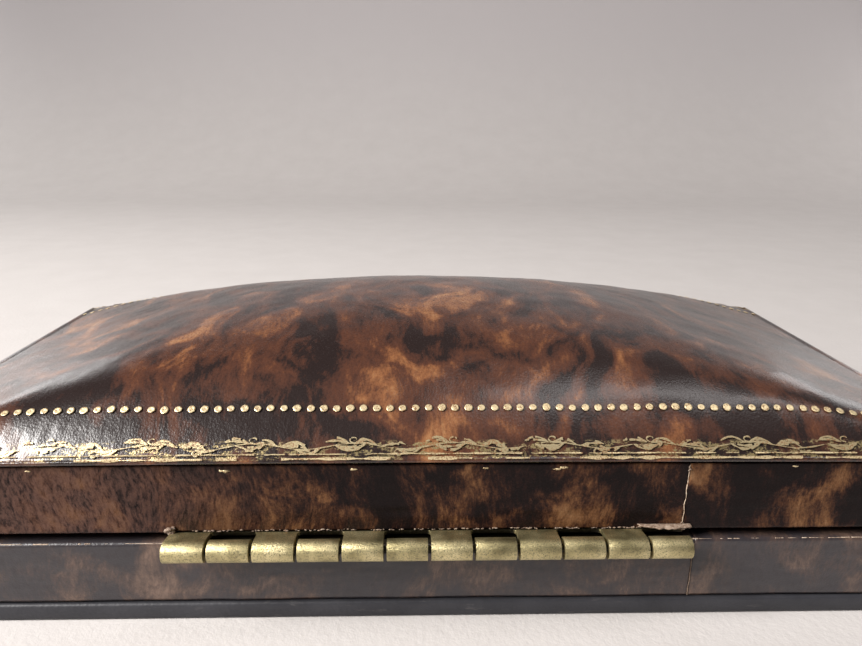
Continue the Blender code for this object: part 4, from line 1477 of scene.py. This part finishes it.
finish_piece(make_lid_top(top_leather), "lid", "tree_calf_leather", "lid_top_leather")
upper_cut, lower_cut = HINGE_Z + LEAF_FACE, HINGE_Z - LEAF_FACE
rim = make_band("lid_rim_band", RIM_LOW.z, RIM_HIGH.z, upper_cut, RIM_SEAM_X, 61, rim_leather)
finish_piece(rim, "lid", "tree_calf_leather", "lid_rim_leather")
band = make_band("base_band", BAND_HIGH.z, BAND_LOW.z, lower_cut, BASE_SEAM_X, 71, band_leather)
finish_piece(band, "base", "tree_calf_leather", "base_leather_band")
for side_name, side in (("back", 1), ("front", -1)):
    finish_piece(make_dots(f"gilt_dots_{side_name}", side, gilt), "lid", "tree_calf_leather")
    finish_piece(make_roll(f"gilt_roll_{side_name}", side, roll_gilt), "lid", "tree_calf_leather")
    finish_piece(make_fillet(f"gilt_fillet_{side_name}", side, gilt), "lid", "tree_calf_leather")

rim_edge = make_seam_edge("rim_seam_edge", RIM_SEAM_X, RIM_LOW.z + 0.6 * MM, RIM_HIGH.z, raw)
finish_piece(rim_edge, "lid", "tree_calf_leather")
base_edge = make_seam_edge("base_seam_edge", BASE_SEAM_X, BAND_LOW.z, BAND_HIGH.z - 0.7 * MM, band_raw)
finish_piece(base_edge, "base", "tree_calf_leather")
finish_piece(make_frayed_edge("frayed_leather", band_raw), "lid", "tree_calf_leather")
finish_piece(make_torn_curl("torn_curl", band_raw), "lid", "tree_calf_leather")
# pale strips that are a painted highlight on the base's top back edge
finish_piece(make_edge_highlight_strips("base_edge_painted_highlight", raw), "base", "tree_calf_leather")
finish_piece(make_flakes("gilt_flakes", gilt), "lid", "tree_calf_leather")

refine("upper_hinge_leaf", "hinge_upper_leaf", 0.14 * MM, upper_brass, "lid", "aged_brass")
refine("lower_hinge_leaf", "hinge_lower_leaf", 0.14 * MM, lower_brass, "base", "aged_brass")
refine("plinth_board", "bottom_board", 0.45 * MM, paper, "base", "dark_covering_paper")

make_satin_pad()
make_well_cushion()
make_surround()
make_spring()
strip_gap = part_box("catch_case")[1].x + CASE_ROOM
velvet_lip = make_strip("velvet_lip", "base_lip", LIP_THICKNESS, 0.0, strip_gap, velvet)
finish_piece(velvet_lip, "base", "velvet", "base_lip")
satin_lining = make_strip("satin_lining", "lid_lining", LINING_THICKNESS, LINING_GATHER, 0, satin)
finish_piece(satin_lining, "lid", "satin", "lid_lining")
for piece, node, body, slot, finish in (
    ("button_cap", "push_button", "button", "aged_brass", brass),
    ("button_ring", "button_bezel", "base", "aged_brass", brass),
    ("catch_box", "catch_case", "base", "aged_brass", brass),
    ("lid_hook", "catch_hook", "lid", "aged_brass", brass),
    ("spring_bolt", "catch_bolt", "button", "steel", steel),
):
    refine(piece, node, 0.09 * MM, finish, body, slot, 2)

NODE_MATERIALS = {
    "underside_cover": paper,
    "base_lip": velvet,
    "velvet_surround": velvet,
    "well_cushion": velvet,
    "lid_satin_pad": satin,
    "lid_lining": satin,
    "lid_dome_board": wood,
    "hinge_pin": pin_painted_black,
    "catch_bolt": steel,
    "catch_spring": steel,
}
for name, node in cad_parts.items():
    chosen = NODE_MATERIALS.get(name)
    if chosen is None:
        chosen = wood if "_wall_" in name else brass
    node.data.materials.clear()
    node.data.materials.append(chosen)
